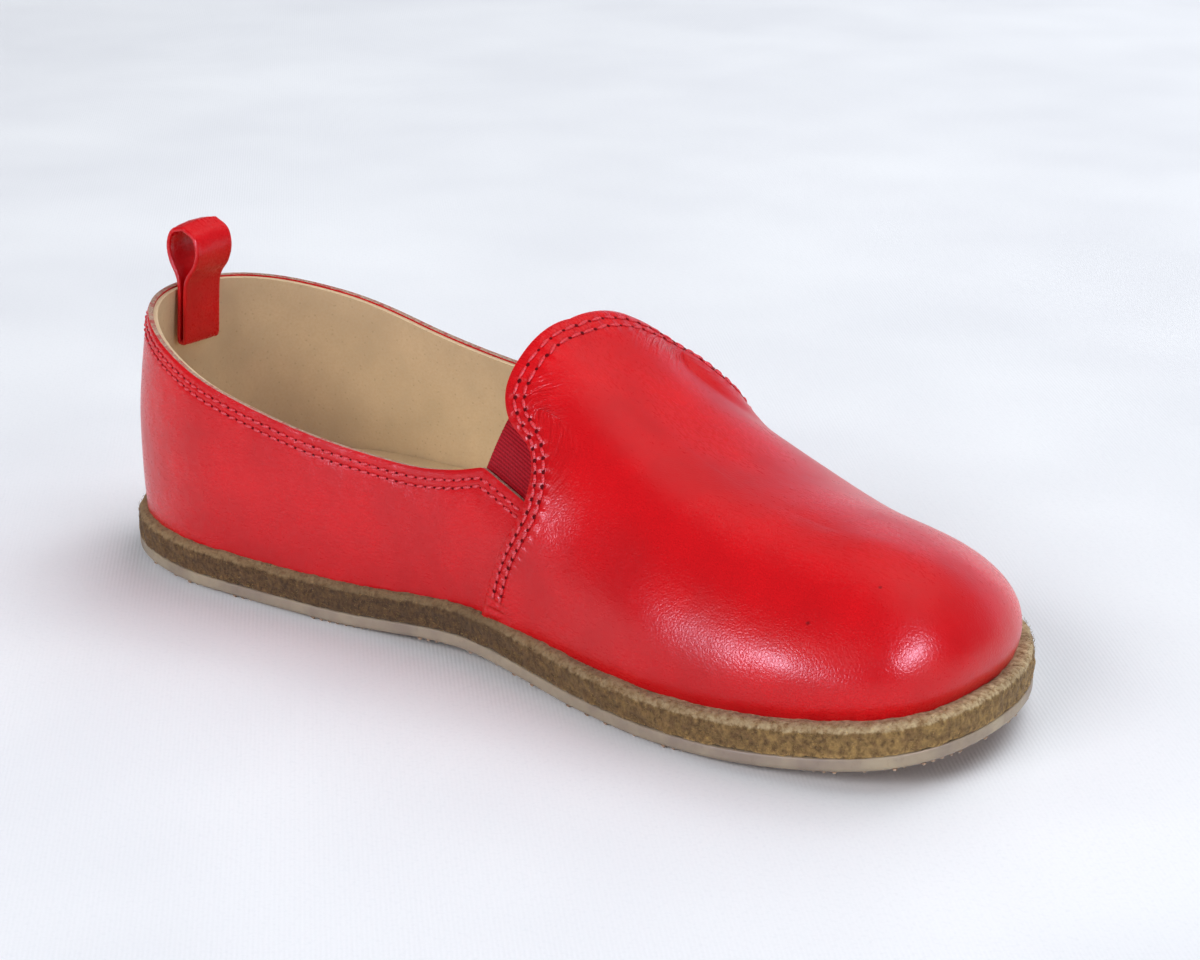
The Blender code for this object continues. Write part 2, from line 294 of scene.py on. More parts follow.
def last_surface():
    """Points and outward normals of the upper's surface, over the crown and down the other side."""
    turn = np.arange(2 * SIDE)
    edge = outline(turn, welt(turn))
    top = spine(turn, column(UPPER, 2))
    share = top[:, 0] / LENGTH
    crown = column(UPPER, 1)(share) * MM
    belly = column(UPPER, 3)(share) * MM
    swing = np.sin(math.pi * turn / SIDE) / math.sin(math.pi * BLEND_STATIONS / CAD_STATIONS)
    outer = smoothstep(0.5 + 0.5 * swing)
    full = column(UPPER, 4)(share) * (1.0 - outer) + column(UPPER, 5)(share) * outer
    base = OUTSOLE_THICK + MIDSOLE_THICK + GAP + lift(edge[:, 0])
    outward = unit(edge - outline(turn, welt(turn) + MM))
    grid = []
    for angle in section_angles():
        across = (1.0 - np.clip(math.cos(angle), 0.0, 1.0) ** full)[:, None]
        up = math.sin(angle) ** full
        swell = belly * BELLY_PEAK * up * (1.0 - up) ** 2
        flat = edge + (top - edge) * across + outward * swell[:, None]
        grid.append(np.column_stack([flat, base + (crown - base) * up]))
    grid = np.array(grid)
    grid[:, :, 2] = eased(grid[:, :, 2])
    opposite = (-turn) % (2 * SIDE)
    whole = np.concatenate([grid, grid[-2::-1][:, opposite]])
    whole = filled(whole, surface_normals(whole))
    return whole, surface_normals(whole)


def surface_normals(whole):
    """Outward normals of the surface over the crown."""
    opposite = (-np.arange(2 * SIDE)) % (2 * SIDE)
    around = np.roll(whole, -2, axis=1) - np.roll(whole, 2, axis=1)
    ends = [SIDE - 1, SIDE, SIDE + 1, 0, 1, -1]
    around[TOP, ends] = around[TOP - 4, ends]
    normal = unit(np.cross(np.gradient(whole, axis=0), around))
    normal[:TOP] *= np.sign((normal[:TOP, :, 2:] + 0.2).mean())
    normal[TOP + 1:] = normal[TOP - 1::-1][:, opposite]
    normal[TOP] = unit(normal[TOP - 1] + normal[TOP + 1])
    return normal


def filled(whole, normal):
    """Evens out the shallow valley along the crown line, where the two sides meet at an angle."""
    inner = np.arange(2 * SIDE - 4, SIDE + 4, -1)
    crown = whole[TOP, inner]
    slopes = -normal[:, inner, 1] / np.maximum(normal[:, inner, 2], 0.2)
    bend = slopes[TOP + 5] - slopes[TOP - 5]
    bend = np.convolve(bend, np.ones(15) / 15.0, "same")
    bend *= smoothstep((crown[-1, 0] - crown[:, 0]) / (9.0 * MM))
    bend_here = np.interp(whole[..., 0], crown[:, 0], bend)
    away = np.abs(whole[..., 1] - np.interp(whole[..., 0], crown[:, 0], crown[:, 1]))
    share = 1.0 - np.abs(np.arange(2 * TOP + 1) / TOP - 1.0)
    near_crown = smoothstep((share - 0.5) / 0.3)[:, None]
    fill = 5.0 * MM * np.exp(-away / (5.0 * MM))
    press = away * bell(away, 9.0 * MM)
    out = whole.copy()
    out[..., 2] += near_crown * 0.78 * bend_here * (0.6 * fill - 0.4 * press)
    return out


SURFACE, NORMAL = last_surface()


def on_last(turn, row, depth=0.0):
    """Points of the upper's surface at station and row numbers, moved inwards by a depth."""
    turn, row = np.broadcast_arrays(np.asarray(turn, float), np.asarray(row, float))
    row = np.clip(row, 0.0, 2.0 * TOP)
    i = np.clip(row.astype(int), 0, 2 * TOP - 1)
    j = np.floor(turn).astype(int)
    a = (row - i)[..., None]
    b = (turn - j)[..., None]
    j, k = j % (2 * SIDE), (j + 1) % (2 * SIDE)

    def at(grid):
        low = grid[i, j] * (1.0 - b) + grid[i, k] * b
        high = grid[i + 1, j] * (1.0 - b) + grid[i + 1, k] * b
        return low * (1.0 - a) + high * a

    depth = np.broadcast_to(depth, turn.shape)[..., None]
    return at(SURFACE) - unit(at(NORMAL)) * depth


def find(points, side):
    """Station and row numbers of points given as seen from the side, in mm; side is +1 outer, -1 inner."""
    target = np.asarray(points, float) * MM
    turns = np.arange(2, SIDE - 1, 2) if side > 0 else np.arange(SIDE + 2, 2 * SIDE - 1, 2)
    rows = np.arange(0, TOP + 1, 2)
    seen = SURFACE[rows][:, turns][:, :, [0, 2]].reshape(-1, 2)
    found = []
    for point in target:
        k = int(np.argmin(((seen - point) ** 2).sum(axis=1)))
        place = np.array([turns[k % len(turns)], rows[k // len(turns)]], float)
        for _ in range(5):
            here = on_last(*place)[[0, 2]]
            across = on_last(place[0] + 0.5, place[1])[[0, 2]] - on_last(place[0] - 0.5, place[1])[[0, 2]]
            upward = on_last(place[0], place[1] + 0.5)[[0, 2]] - on_last(place[0], place[1] - 0.5)[[0, 2]]
            frame_2d = np.column_stack([across, upward])
            if abs(np.linalg.det(frame_2d)) < 1e-12:
                break
            place += np.clip(np.linalg.solve(frame_2d, point - here), -3.0, 3.0)
            place[1] = np.clip(place[1], 0.0, TOP)
        found.append(place)
    return np.array(found)


def normal_at(turn, row):
    """Outward normals of the upper's surface at station and row numbers."""
    return unit(on_last(turn, row, -MM) - on_last(turn, row))


def place_on_crown(x):
    """Inner station number where the crown line has a distance x from the heel."""
    turns = np.arange(SIDE, 2 * SIDE)
    return float(np.interp(-x, -SURFACE[TOP, turns, 0], turns))


# ---- the vamp's pattern ----------------------------------------------------------------------
VAMP_ROWS = 110              # lines from the seam's foot to the crown, on each side
# First lines inside the vamp's edge, in mm.
NEAR_EDGE = (0.0, 0.25, 0.5, 0.8, 1.1, 1.4, 1.65, 1.9, 2.2, 2.6, 2.95, 3.2, 3.4, 3.65, 3.95, 4.4, 5.0)
VAMP_LINES = 96              # lines from 5 mm inside the edge to the toe
STITCH_ROWS = (1.7, 3.3)     # rows of stitching, mm from the edge
FLARE_AT, FLARE = 0.46, 2.2 * MM   # outer gore's corner, which stands a little open
TONGUE_END = 94.7 * MM       # the tongue's edge on the crown line, from the heel
# Where the grid's lines end: share of the way up the edge, share of the rows up the toe.
AIMS = ((0.0, 0.0), (0.36, 0.50), (0.50, 0.62), (0.59, 0.70), (1.0, 1.0))


def vamp_edge(side):
    """Vamp's free edge from the feather to the crown, as stations and rows evenly spaced in length."""
    seen = smooth_path(SEAM + (GORE_TIP,) + TONGUE, 8)
    crown = place_on_crown(TONGUE_END)
    highest = on_last(crown, TOP)[2] / MM
    places = find(seen[seen[:, 1] < highest - 0.3], side)
    places = np.vstack([places, [crown if side < 0 else 2 * SIDE - crown, TOP]])
    places[0, 1] = 0.0
    fine = np.linspace(0.0, len(places) - 1.0, 3000)
    index = np.arange(len(places))
    places = np.column_stack([np.interp(fine, index, places[:, k]) for k in range(2)])
    length = run(on_last(places[:, 0], places[:, 1]))
    even = np.linspace(0.0, length[-1], VAMP_ROWS + 1)
    places = np.column_stack([np.interp(even, length, places[:, k]) for k in range(2)])
    kernel = np.array([1.0, 2.0, 3.0, 2.0, 1.0]) / 9.0
    for _ in range(2):
        inner = np.column_stack([np.convolve(places[:, k], kernel, "valid") for k in range(2)])
        places[2:-2] = inner
    return places, even


def inward_steps(places, length):
    """Change of station and row for a metre inside the vamp's edge, square to it."""
    turn, row = places[:, 0], places[:, 1]
    step = 0.5
    across = on_last(turn + step, row) - on_last(turn - step, row)
    upward = on_last(turn, np.minimum(row + step, TOP)) - on_last(turn, np.maximum(row - step, 0.0))
    upward[[0, -1]] *= 2.0
    along = unit(np.gradient(on_last(turn, row), axis=0))
    inward = unit(np.cross(normal_at(turn, row), along))
    inward *= np.sign(inward[:, :1].mean())
    steps = []
    for vector in (inward, along):
        solved = [np.linalg.lstsq(np.column_stack([a, u]), v, rcond=None)[0]
                  for a, u, v in zip(across, upward, vector)]
        steps.append(np.array(solved))
    square, forward = steps
    loose = smoothstep(length / (9.0 * MM)) * smoothstep((length[-1] - length) / (9.0 * MM))
    slide = (loose - 1.0) * square[:, 1] / forward[:, 1]
    return square + slide[:, None] * forward


def vamp_places(side):
    """Stations and rows of the vamp's working grid on one side, and the distances from its edge."""
    edge, length = vamp_edge(side)
    steps = inward_steps(edge, length)
    share = length / length[-1]
    aim = np.column_stack([np.full(len(share), float(SIDE)),
                           TOP * np.interp(share, *np.array(AIMS).T)])
    near = np.array(NEAR_EDGE) * MM
    start = edge + steps * near[-1]
    pull = np.linalg.norm(aim - start, axis=1)[:, None]
    leave = unit(steps) * pull * 0.3
    arrive = (aim - start) * np.array([1.0, 0.6])
    grid = []
    spans = []
    for k in range(len(edge)):
        t = np.linspace(0.0, 1.0, 200)[:, None]
        line = ((2 * t ** 3 - 3 * t ** 2 + 1) * start[k] + (t ** 3 - 2 * t ** 2 + t) * leave[k]
                + (3 * t ** 2 - 2 * t ** 3) * aim[k] + (t ** 3 - t ** 2) * arrive[k])
        length_here = run(on_last(line[:, 0], line[:, 1]))
        even = np.linspace(0.0, length_here[-1], VAMP_LINES + 1)[1:]
        far = np.column_stack([np.interp(even, length_here, line[:, c]) for c in range(2)])
        grid.append(np.vstack([edge[k] + near[:, None] * steps[k], far]))
        spans.append(np.concatenate([near, near[-1] + even]))
    grid = np.array(grid)
    free = smoothstep(np.minimum((np.arange(grid.shape[1]) - len(near)) / 14.0,
                                 (grid.shape[1] - 1 - np.arange(grid.shape[1])) / 10.0))[:, None]
    for _ in range(60):
        grid[1:-1] += 0.5 * free * (0.5 * (grid[:-2] + grid[2:]) - grid[1:-1])
    grid[:, :, 1] = np.clip(grid[:, :, 1], 0.0, TOP)
    grid[0, :, 1] = 0.0
    grid[-1, :, 1] = TOP
    return grid, np.array(spans), length


def stitch_span(row, length):
    """Distance of a stitch row from the vamp's edge: wider over the tongue, close to it past the gore."""
    along = length / length[-1]
    wider = 1.0 + 0.14 * smoothstep((along - 0.60) / 0.16)
    return row * MM * wider - 0.95 * MM * bell(along - 0.47, 0.08)


def stitch_length(length):
    """Length of a stitch from the seam's foot up to the crown: the tongue is sewn with longer ones."""
    longer = sizes().tongue_pitch - sizes().stitch_pitch
    return sizes().stitch_pitch + longer * smoothstep((length / length[-1] - 0.50) / 0.14)


def stitch_phase(length):
    """Stitches passed from the crown down to each place along the vamp's edge."""
    pitch = stitch_length(length)
    passed = np.concatenate([[0.0], np.cumsum(np.diff(length) / (0.5 * (pitch[1:] + pitch[:-1])))])
    return passed[-1] - passed


def drawn_in(spans, length):
    """How strongly fine wrinkles show: most at the tongue's corner, less at gore and seam foot."""
    reach = (length[-1] - length)[:, None]
    corner = 1.2 * bell(reach - 23.5 * MM, 9.5 * MM) * bell(spans - 6.4 * MM, 4.6 * MM)
    gore = 0.35 * bell(reach - 33.0 * MM, 6.0 * MM) * bell(spans - 5.0 * MM, 2.2 * MM)
    foot = 0.5 * bell(length[:, None], 8.0 * MM) * bell(spans - 4.5 * MM, 3.0 * MM)
    beyond = smoothstep((spans - stitch_span(STITCH_ROWS[1], length)[:, None] - 0.2 * MM) / (0.9 * MM))
    return (corner + gore + foot) * beyond


def lap(spans, length, side):
    """How far the vamp stands over the last: up on the quarter at the seam, edge eased, stitches sunk."""
    tip = length[-1] * 0.38
    over_quarter = 1.0 - smoothstep((length - tip) / (8.0 * MM))
    rise = (0.35 + 0.55 * over_quarter)[:, None] * MM * (1.0 - smoothstep(spans / (14.0 * MM)))
    rise -= 0.22 * MM * bell(spans, 0.35 * MM)
    for row in STITCH_ROWS:
        rise -= 0.11 * MM * bell(spans - stitch_span(row, length)[:, None], 0.50 * MM)
    if side > 0:
        here = bell(length / length[-1] - FLARE_AT, 0.13)[:, None]
        rise += FLARE * here * (1.0 - smoothstep(spans / (11.0 * MM)))
    return rise


def flesh_lap(spans, length, side):
    """The same for the leather's inner face, which has no eased edge."""
    return np.maximum(lap(spans + 3.0 * MM * (spans < 3.0 * MM), length, side), 0.0)


# Creases, given one by one: ends seen from the side, width and depth; depth below nought is a ridge.
VAMP_CREASES = (
    ((97.9, 48.2), (103.4, 49.4), 0.70, 0.16),
    ((98.6, 47.2), (102.6, 48.1), 0.60, -0.08),
    ((99.1, 46.4), (105.2, 47.6), 0.75, 0.17),
    ((99.9, 45.7), (103.6, 46.2), 0.60, -0.08),
    ((100.6, 45.1), (106.4, 44.9), 0.70, 0.15),
    ((101.4, 43.9), (105.8, 43.4), 0.65, 0.10),
    ((96.8, 50.2), (101.2, 51.4), 0.70, 0.10),
    ((107.0, 39.4), (109.6, 38.6), 0.60, 0.12),
    ((107.6, 38.2), (109.9, 37.7), 0.60, 0.10),
    ((98.6, 12.9), (102.6, 11.2), 0.70, 0.18),
    ((99.2, 14.3), (102.0, 13.4), 0.60, -0.08),
    ((100.0, 16.4), (103.6, 14.9), 0.80, 0.10),
    ((103.0, 12.0), (107.0, 12.8), 0.90, 0.07),
    ((112.2, 29.1), (113.8, 27.4), 0.80, 0.10),
)
# Broad unevenness of the lasted leather: side view place, side, radius and depth, all in mm.
VAMP_HOLLOWS = (
    ((121.0, 24.0), -1, 10.0, 0.35),
    ((134.0, 20.0), -1, 9.0, -0.25),
    ((150.0, 21.5), -1, 8.0, 0.22),
    ((170.5, 22.5), -1, 5.0, 0.35),
    ((161.0, 19.5), -1, 5.5, -0.18),
    ((128.0, 34.0), 1, 14.0, 0.12),
    ((150.0, 24.0), 1, 9.0, 0.15),
)


def creased(points, normals, creases, side):
    """Presses soft troughs and ridges into one side's points, along straight pulls of the leather."""
    out = points.copy()
    for start, end, width, depth in creases:
        ends = find((start, end), side)
        a, b = on_last(ends[:, 0], ends[:, 1])
        t = np.clip(((points - a) @ (b - a)) / ((b - a) @ (b - a)), -0.6, 1.6)
        near = np.linalg.norm(points - (a + t[..., None] * (b - a)), axis=-1)
        fade = 1.0 - smoothstep((np.abs(t - 0.5) - 0.25) / 0.6)
        out -= normals * (depth * MM * fade * bell(near, 0.75 * width * MM))[..., None]
    return out


def hollowed(points, normals, side):
    """Presses broad shallow hollows and swellings into one side's points."""
    out = points.copy()
    for place, where, radius, depth in VAMP_HOLLOWS:
        if where != side:
            continue
        spot = find((place,), side)[0]
        middle = on_last(spot[0], spot[1])
        away = np.linalg.norm(points - middle, axis=-1)
        out -= normals * (depth * MM * bell(away, radius * MM))[..., None]
    return out


def puckered(points, normals, turn, row):
    """Fine gathers of the leather where it was drawn in under the feather edge, strongest at the toe."""
    x = points[..., 0] / LENGTH
    reach = smoothstep((x - 0.62) / 0.25)
    angle = turn * 1.7 + 2.0 * np.sin(turn * 0.31) + 1.3 * np.sin(turn * 0.83 + 1.0)
    gather = np.sin(angle) * (0.6 + 0.4 * np.sin(turn * 0.23))
    foot = 1.0 - smoothstep(row / 22.0)
    return points + normals * (0.07 * MM * gather * reach * foot)[..., None]


# ---- meshes ----------------------------------------------------------------------------------
def sheets(grids, marks=()):
    """A bmesh with one sheet through each grid of points; marks are (name, number for each point)."""
    shape = bmesh.new()
    layers = [shape.verts.layers.float.new(name) for name, _ in marks]
    for grid in grids:
        rows, columns = grid.shape[:2]
        bmesh.ops.create_grid(shape, x_segments=columns - 1, y_segments=rows - 1, size=1.0)
    coords = np.concatenate([placed(grid).reshape(-1, 3) for grid in grids])
    for vert, point in zip(shape.verts, coords):
        vert.co = point
    for layer, (_, values) in zip(layers, marks):
        for vert, value in zip(shape.verts, np.concatenate([np.ravel(v) for v in values])):
            vert[layer] = float(value)
    bmesh.ops.remove_doubles(shape, verts=shape.verts, dist=1e-6)
    return shape


def walled(shape, rim_mark=None):
    """Joins the borders of two sheets; faces with all corners marked take the second material."""
    border = [edge for edge in shape.edges if edge.is_boundary]
    made = bmesh.ops.bridge_loops(shape, edges=border)["faces"]
    if rim_mark:
        layer = shape.verts.layers.float[rim_mark]
        for face in made:
            if all(vert[layer] > 0.5 for vert in face.verts):
                face.material_index = 1
    return shape


def piece(name, shape, materials, nodes=(), sharp=None):
    """Makes a shape an object that rides the shoe."""
    bmesh.ops.recalc_face_normals(shape, faces=shape.faces)
    for face in shape.faces:
        face.smooth = True
    mesh = bpy.data.meshes.new(name)
    shape.to_mesh(mesh)
    shape.free()
    return as_piece(name, mesh, materials, nodes, sharp)


def as_piece(name, mesh, materials, nodes=(), sharp=None):
    """Gives a mesh its object, materials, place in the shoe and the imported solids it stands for."""
    if sharp is not None:
        mesh.set_sharp_from_angle(angle=math.radians(sharp))
    for material in materials:
        mesh.materials.append(material)
    made = bpy.data.objects.new(name, mesh)
    bpy.context.scene.collection.objects.link(made)
    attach(made, "root")
    if nodes:
        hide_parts(*nodes)
    return made


def refined(made, levels=1):
    """Smooths a piece by subdivision, with the same levels on screen and in the render."""
    smooth = made.modifiers.new("smooth", "SUBSURF")
    smooth.levels = levels
    smooth.render_levels = levels
    return made


def copies(name, template, frames, places, materials, marks=None):
    """One mesh of many copies of a small shape; frames hold each copy's three axes in columns."""
    bmesh.ops.recalc_face_normals(template, faces=template.faces)
    corners = np.array([vert.co[:] for vert in template.verts])
    # Blender gives a sphere's faces in another order each run, so they are sorted.
    faces = sorted([vert.index for vert in face.verts] for face in template.faces)
    template.free()
    count = len(places)
    verts = (np.einsum("mij,nj->mni", frames, corners) + placed(places)[:, None, :]).reshape(-1, 3)
    every = [[k * len(corners) + c for c in face] for k in range(count) for face in faces]
    mesh = bpy.data.meshes.new(name)
    mesh.from_pydata(verts.tolist(), [], every)
    mesh.polygons.foreach_set("use_smooth", np.ones(len(every), bool))
    local = np.tile(corners, (count, 1))
    for label, axis in (("along", 0), ("height", 2)):
        layer = mesh.attributes.new(label, "FLOAT", "POINT")
        layer.data.foreach_set("value", local[:, axis])
    for label, values in (marks or {}).items():
        layer = mesh.attributes.new(label, "FLOAT", "POINT")
        layer.data.foreach_set("value", np.repeat(values, len(corners)))
    mesh.update()
    return as_piece(name, mesh, materials)


# ---- materials -------------------------------------------------------------------------------
FACTOR, FIRST, SECOND = 0, 6, 7   # sockets of a colour mix
# Marks on the upper: place and radius in mm.
SPECKS = (((169.3, -17.1, 29.2), 0.42), ((162.5, -26.6, 24.6), 0.45), ((139.0, -18.0, 34.2), 0.30))
SCUFFS = (((112.2, -27.6, 29.1), 1.1), ((113.6, -28.3, 27.6), 0.8))


def linear(code):
    """Linear colour of an sRGB hex code."""
    parts = [int(code[k:k + 2], 16) / 255.0 for k in (1, 3, 5)]
    return tuple(p / 12.92 if p <= 0.04045 else ((p + 0.055) / 1.055) ** 2.4 for p in parts)


def add(tree, kind, inputs=None, out=None, **settings):
    """One node with its settings; each input is a value or the socket that feeds it. Gives its output."""
    node = tree.nodes.new(kind)
    for name, value in settings.items():
        setattr(node, name, value)
    for name, value in (inputs or {}).items():
        socket = node.inputs[name]
        if isinstance(value, bpy.types.NodeSocket):
            tree.links.new(value, socket)
        elif socket.type == "RGBA":
            socket.default_value = (*value[:3], 1.0)
        else:
            socket.default_value = value
    return node.outputs[out] if out else next(socket for socket in node.outputs if socket.enabled)


def surface(name, **values):
    """A new material with values on its shader's sockets; gives it, its tree, shader and coordinates."""
    material = bpy.data.materials.new(name)
    material.use_nodes = True
    tree = material.node_tree
    shader = tree.nodes["Principled BSDF"]
    for socket, value in values.items():
        shader.inputs[socket.replace("_", " ")].default_value = value
    place = add(tree, "ShaderNodeTexCoord", {}, out="Object")
    return material, tree, shader, place


def near_spots(tree, place, spots):
    """Factor that is one inside small spots; each spot is its place and its radius in mm."""
    result = None
    for middle, radius in spots:
        away = add(tree, "ShaderNodeVectorMath", {1: tuple(placed(np.array(middle) * MM)), 0: place},
            operation="DISTANCE", out="Value")
        inside = add(tree, "ShaderNodeMapRange", {"Value": away, "From Min": radius * MM,
            "From Max": 0.35 * radius * MM})
        if result is None:
            result = inside
        else:
            result = add(tree, "ShaderNodeMath", {0: result, 1: inside}, operation="MAXIMUM")
    return result


def calf_red(tint):
    """Chrome-tanned calf, aniline dyed with a wax finish: satin, fine hair-cell grain, soft clouding."""
    material, tree, shader, place = surface("waxed calf, red", Roughness=0.3, IOR=1.38,
                                            Coat_Weight=0.05, Coat_Roughness=0.18)
    # Calf's own grain is finer: its cells are drawn 0.6 mm wide, as coarse as they need to show.
    cells = add(tree, "ShaderNodeTexVoronoi", {"Scale": 1000.0 / 0.62, "Randomness": 1.0,
        "Vector": place}, feature="DISTANCE_TO_EDGE")
    pull = add(tree, "ShaderNodeMapping", {"Scale": (0.3, 1.0, 1.0), "Rotation": (0.0, 0.35, 0.25),
        "Vector": place})
    lines = add(tree, "ShaderNodeTexNoise", {"Vector": pull, "Scale": 1000.0 / 0.55, "Detail": 4.0,
        "Roughness": 0.6})
    fine = add(tree, "ShaderNodeTexNoise", {"Vector": place, "Scale": 1000.0 / 0.22, "Detail": 2.0,
        "Roughness": 0.55})
    swell = add(tree, "ShaderNodeTexNoise", {"Vector": place, "Scale": 1000.0 / 3.4, "Detail": 2.0,
        "Roughness": 0.45})
    marks = ("reach", "span", "drawn", "phase", "lane")
    reach, span, drawn, phase, lane = (
        add(tree, "ShaderNodeAttribute", {}, attribute_name=mark, out="Fac") for mark in marks)
    from_crown = add(tree, "ShaderNodeMath", {0: reach}, operation="ABSOLUTE")
    slanted = add(tree, "ShaderNodeMath", {0: span, 1: 1.3, 2: from_crown}, operation="MULTIPLY_ADD")
    wavering = add(tree, "ShaderNodeMath", {0: swell, 1: 1.3, 2: slanted}, operation="MULTIPLY_ADD")
    stretched = add(tree, "ShaderNodeMath", {0: span, 1: 0.26}, operation="MULTIPLY")
    fan = add(tree, "ShaderNodeCombineXYZ", {"X": wavering, "Y": stretched})
    fan_lines = add(tree, "ShaderNodeTexNoise", {"Scale": 0.78, "Detail": 1.8, "Roughness": 0.55,
        "Vector": fan})
    tuck_height = add(tree, "ShaderNodeMapRange", {"Value": fan_lines, "From Min": 0.26, "From Max": 0.74})
    tucks = add(tree, "ShaderNodeMath", {0: drawn, 1: tuck_height}, operation="MULTIPLY")
    swing = add(tree, "ShaderNodeMath", {0: phase, 1: 2.0 * math.pi}, operation="MULTIPLY")
    swing = add(tree, "ShaderNodeMath", {0: swell, 1: 1.6, 2: swing}, operation="MULTIPLY_ADD")
    wave = add(tree, "ShaderNodeMath", {0: swing}, operation="COSINE")
    band_start = add(tree, "ShaderNodeMapRange", {"Value": lane, "From Min": -0.95, "From Max": -0.25})
    band_end = add(tree, "ShaderNodeMapRange", {"Value": lane, "From Min": 2.3, "From Max": 1.2})
    band = add(tree, "ShaderNodeMath", {0: band_start, 1: band_end}, operation="MULTIPLY")
    lump_height = add(tree, "ShaderNodeMapRange", {"Value": wave, "From Min": 0.9, "From Max": -0.7})
    lumps = add(tree, "ShaderNodeMath", {0: lump_height, 1: band}, operation="MULTIPLY")
    pores = add(tree, "ShaderNodeTexVoronoi", {"Scale": 1000.0 / 1.5, "Randomness": 1.0, "Vector": place},
        feature="F1")
    pits = add(tree, "ShaderNodeMapRange", {"Value": pores, "From Min": 0.0, "From Max": 0.22,
        "To Min": 1.0, "To Max": 0.0})
    cloud = add(tree, "ShaderNodeTexNoise", {"Vector": place, "Scale": 1000.0 / 16.0, "Detail": 3.0,
        "Roughness": 0.5})
    deep_share = add(tree, "ShaderNodeMapRange", {"Value": cloud, "From Min": 0.35, "From Max": 0.68})
    deep = add(tree, "ShaderNodeMix", {FACTOR: deep_share, FIRST: [c * 0.86 for c in tint],
        SECOND: [min(c * 1.08, 1.0) for c in tint]}, data_type="RGBA")
    worn_share = add(tree, "ShaderNodeMapRange", {"Value": lines, "From Min": 0.3, "From Max": 0.75,
        "To Min": 0.0, "To Max": 0.12})
    worn = add(tree, "ShaderNodeMix", {FACTOR: worn_share, FIRST: deep, SECOND: linear("#B3141C")},
        data_type="RGBA")
    pitted_share = add(tree, "ShaderNodeMath", {0: pits, 1: 0.09}, operation="MULTIPLY")
    pitted = add(tree, "ShaderNodeMix", {FACTOR: pitted_share, FIRST: worn, SECOND: linear("#7E0B14")},
        data_type="RGBA")
    specks = near_spots(tree, place, SPECKS)
    marked_share = add(tree, "ShaderNodeMath", {0: specks, 1: 0.7}, operation="MULTIPLY")
    marked = add(tree, "ShaderNodeMix", {FACTOR: marked_share, FIRST: pitted, SECOND: linear("#5A0A10")},
        data_type="RGBA")
    scuff = near_spots(tree, place, SCUFFS)
    bare_lines = add(tree, "ShaderNodeMapRange", {"Value": lines, "From Min": 0.42, "From Max": 0.62})
    rubbed = add(tree, "ShaderNodeMath", {0: scuff, 1: bare_lines}, operation="MULTIPLY")
    colour_share = add(tree, "ShaderNodeMath", {0: rubbed, 1: 0.35}, operation="MULTIPLY")
    colour = add(tree, "ShaderNodeMix", {FACTOR: colour_share, FIRST: marked, SECOND: linear("#E8707A")},
        data_type="RGBA")
    waxing = add(tree, "ShaderNodeMath", {0: lines, 1: 0.5}, operation="MULTIPLY")
    waxing = add(tree, "ShaderNodeMath", {0: cloud, 1: 0.5, 2: waxing}, operation="MULTIPLY_ADD")
    gloss = add(tree, "ShaderNodeMapRange", {"Value": waxing, "From Min": 0.3, "From Max": 0.7,
        "To Min": 0.34, "To Max": 0.23})
    tree.links.new(colour, shader.inputs["Base Color"])
    tree.links.new(gloss, shader.inputs["Roughness"])
    cell_walls = add(tree, "ShaderNodeMapRange", {"Value": cells, "From Min": 0.0, "From Max": 0.25})
    height = add(tree, "ShaderNodeMath", {0: cell_walls, 1: 0.19}, operation="MULTIPLY")
    for layer, weight in ((lines, 0.4), (fine, 0.16), (swell, 0.85), (pits, -0.06), (rubbed, -0.3),
                          (tucks, 4.8), (lumps, 2.6)):
        height = add(tree, "ShaderNodeMath", {0: layer, 1: weight, 2: height}, operation="MULTIPLY_ADD")
    relief = add(tree, "ShaderNodeBump", {"Height": height, "Distance": 0.085 * MM})
    tree.links.new(relief, shader.inputs["Normal"])
    return material


def cut_edge():
    """Raw cut edge of chrome-tanned leather: matt, pale grey-beige fibre with dye creeping in."""
    material, tree, shader, place = surface("cut leather edge, grey-beige", Roughness=0.88)
    fibre = add(tree, "ShaderNodeTexNoise", {"Vector": place, "Scale": 1000.0 / 0.35, "Detail": 4.0,
        "Roughness": 0.6})
    dye = add(tree, "ShaderNodeTexNoise", {"Vector": place, "Scale": 1000.0 / 1.3, "Detail": 2.0,
        "Roughness": 0.55})
    bare_share = add(tree, "ShaderNodeMapRange", {"Value": fibre, "From Min": 0.35, "From Max": 0.7})
    bare = add(tree, "ShaderNodeMix", {FACTOR: bare_share, FIRST: linear("#8A6A5C"),
        SECOND: linear("#BFA692")}, data_type="RGBA")
    colour_share = add(tree, "ShaderNodeMapRange", {"Value": dye, "From Min": 0.48, "From Max": 0.66,
        "To Min": 0.0, "To Max": 0.75})
    colour = add(tree, "ShaderNodeMix", {FACTOR: colour_share, FIRST: bare, SECOND: linear("#A3222A")},
        data_type="RGBA")
    tree.links.new(colour, shader.inputs["Base Color"])
    relief = add(tree, "ShaderNodeBump", {"Height": fibre, "Distance": 0.12 * MM})
    tree.links.new(relief, shader.inputs["Normal"])
    return material


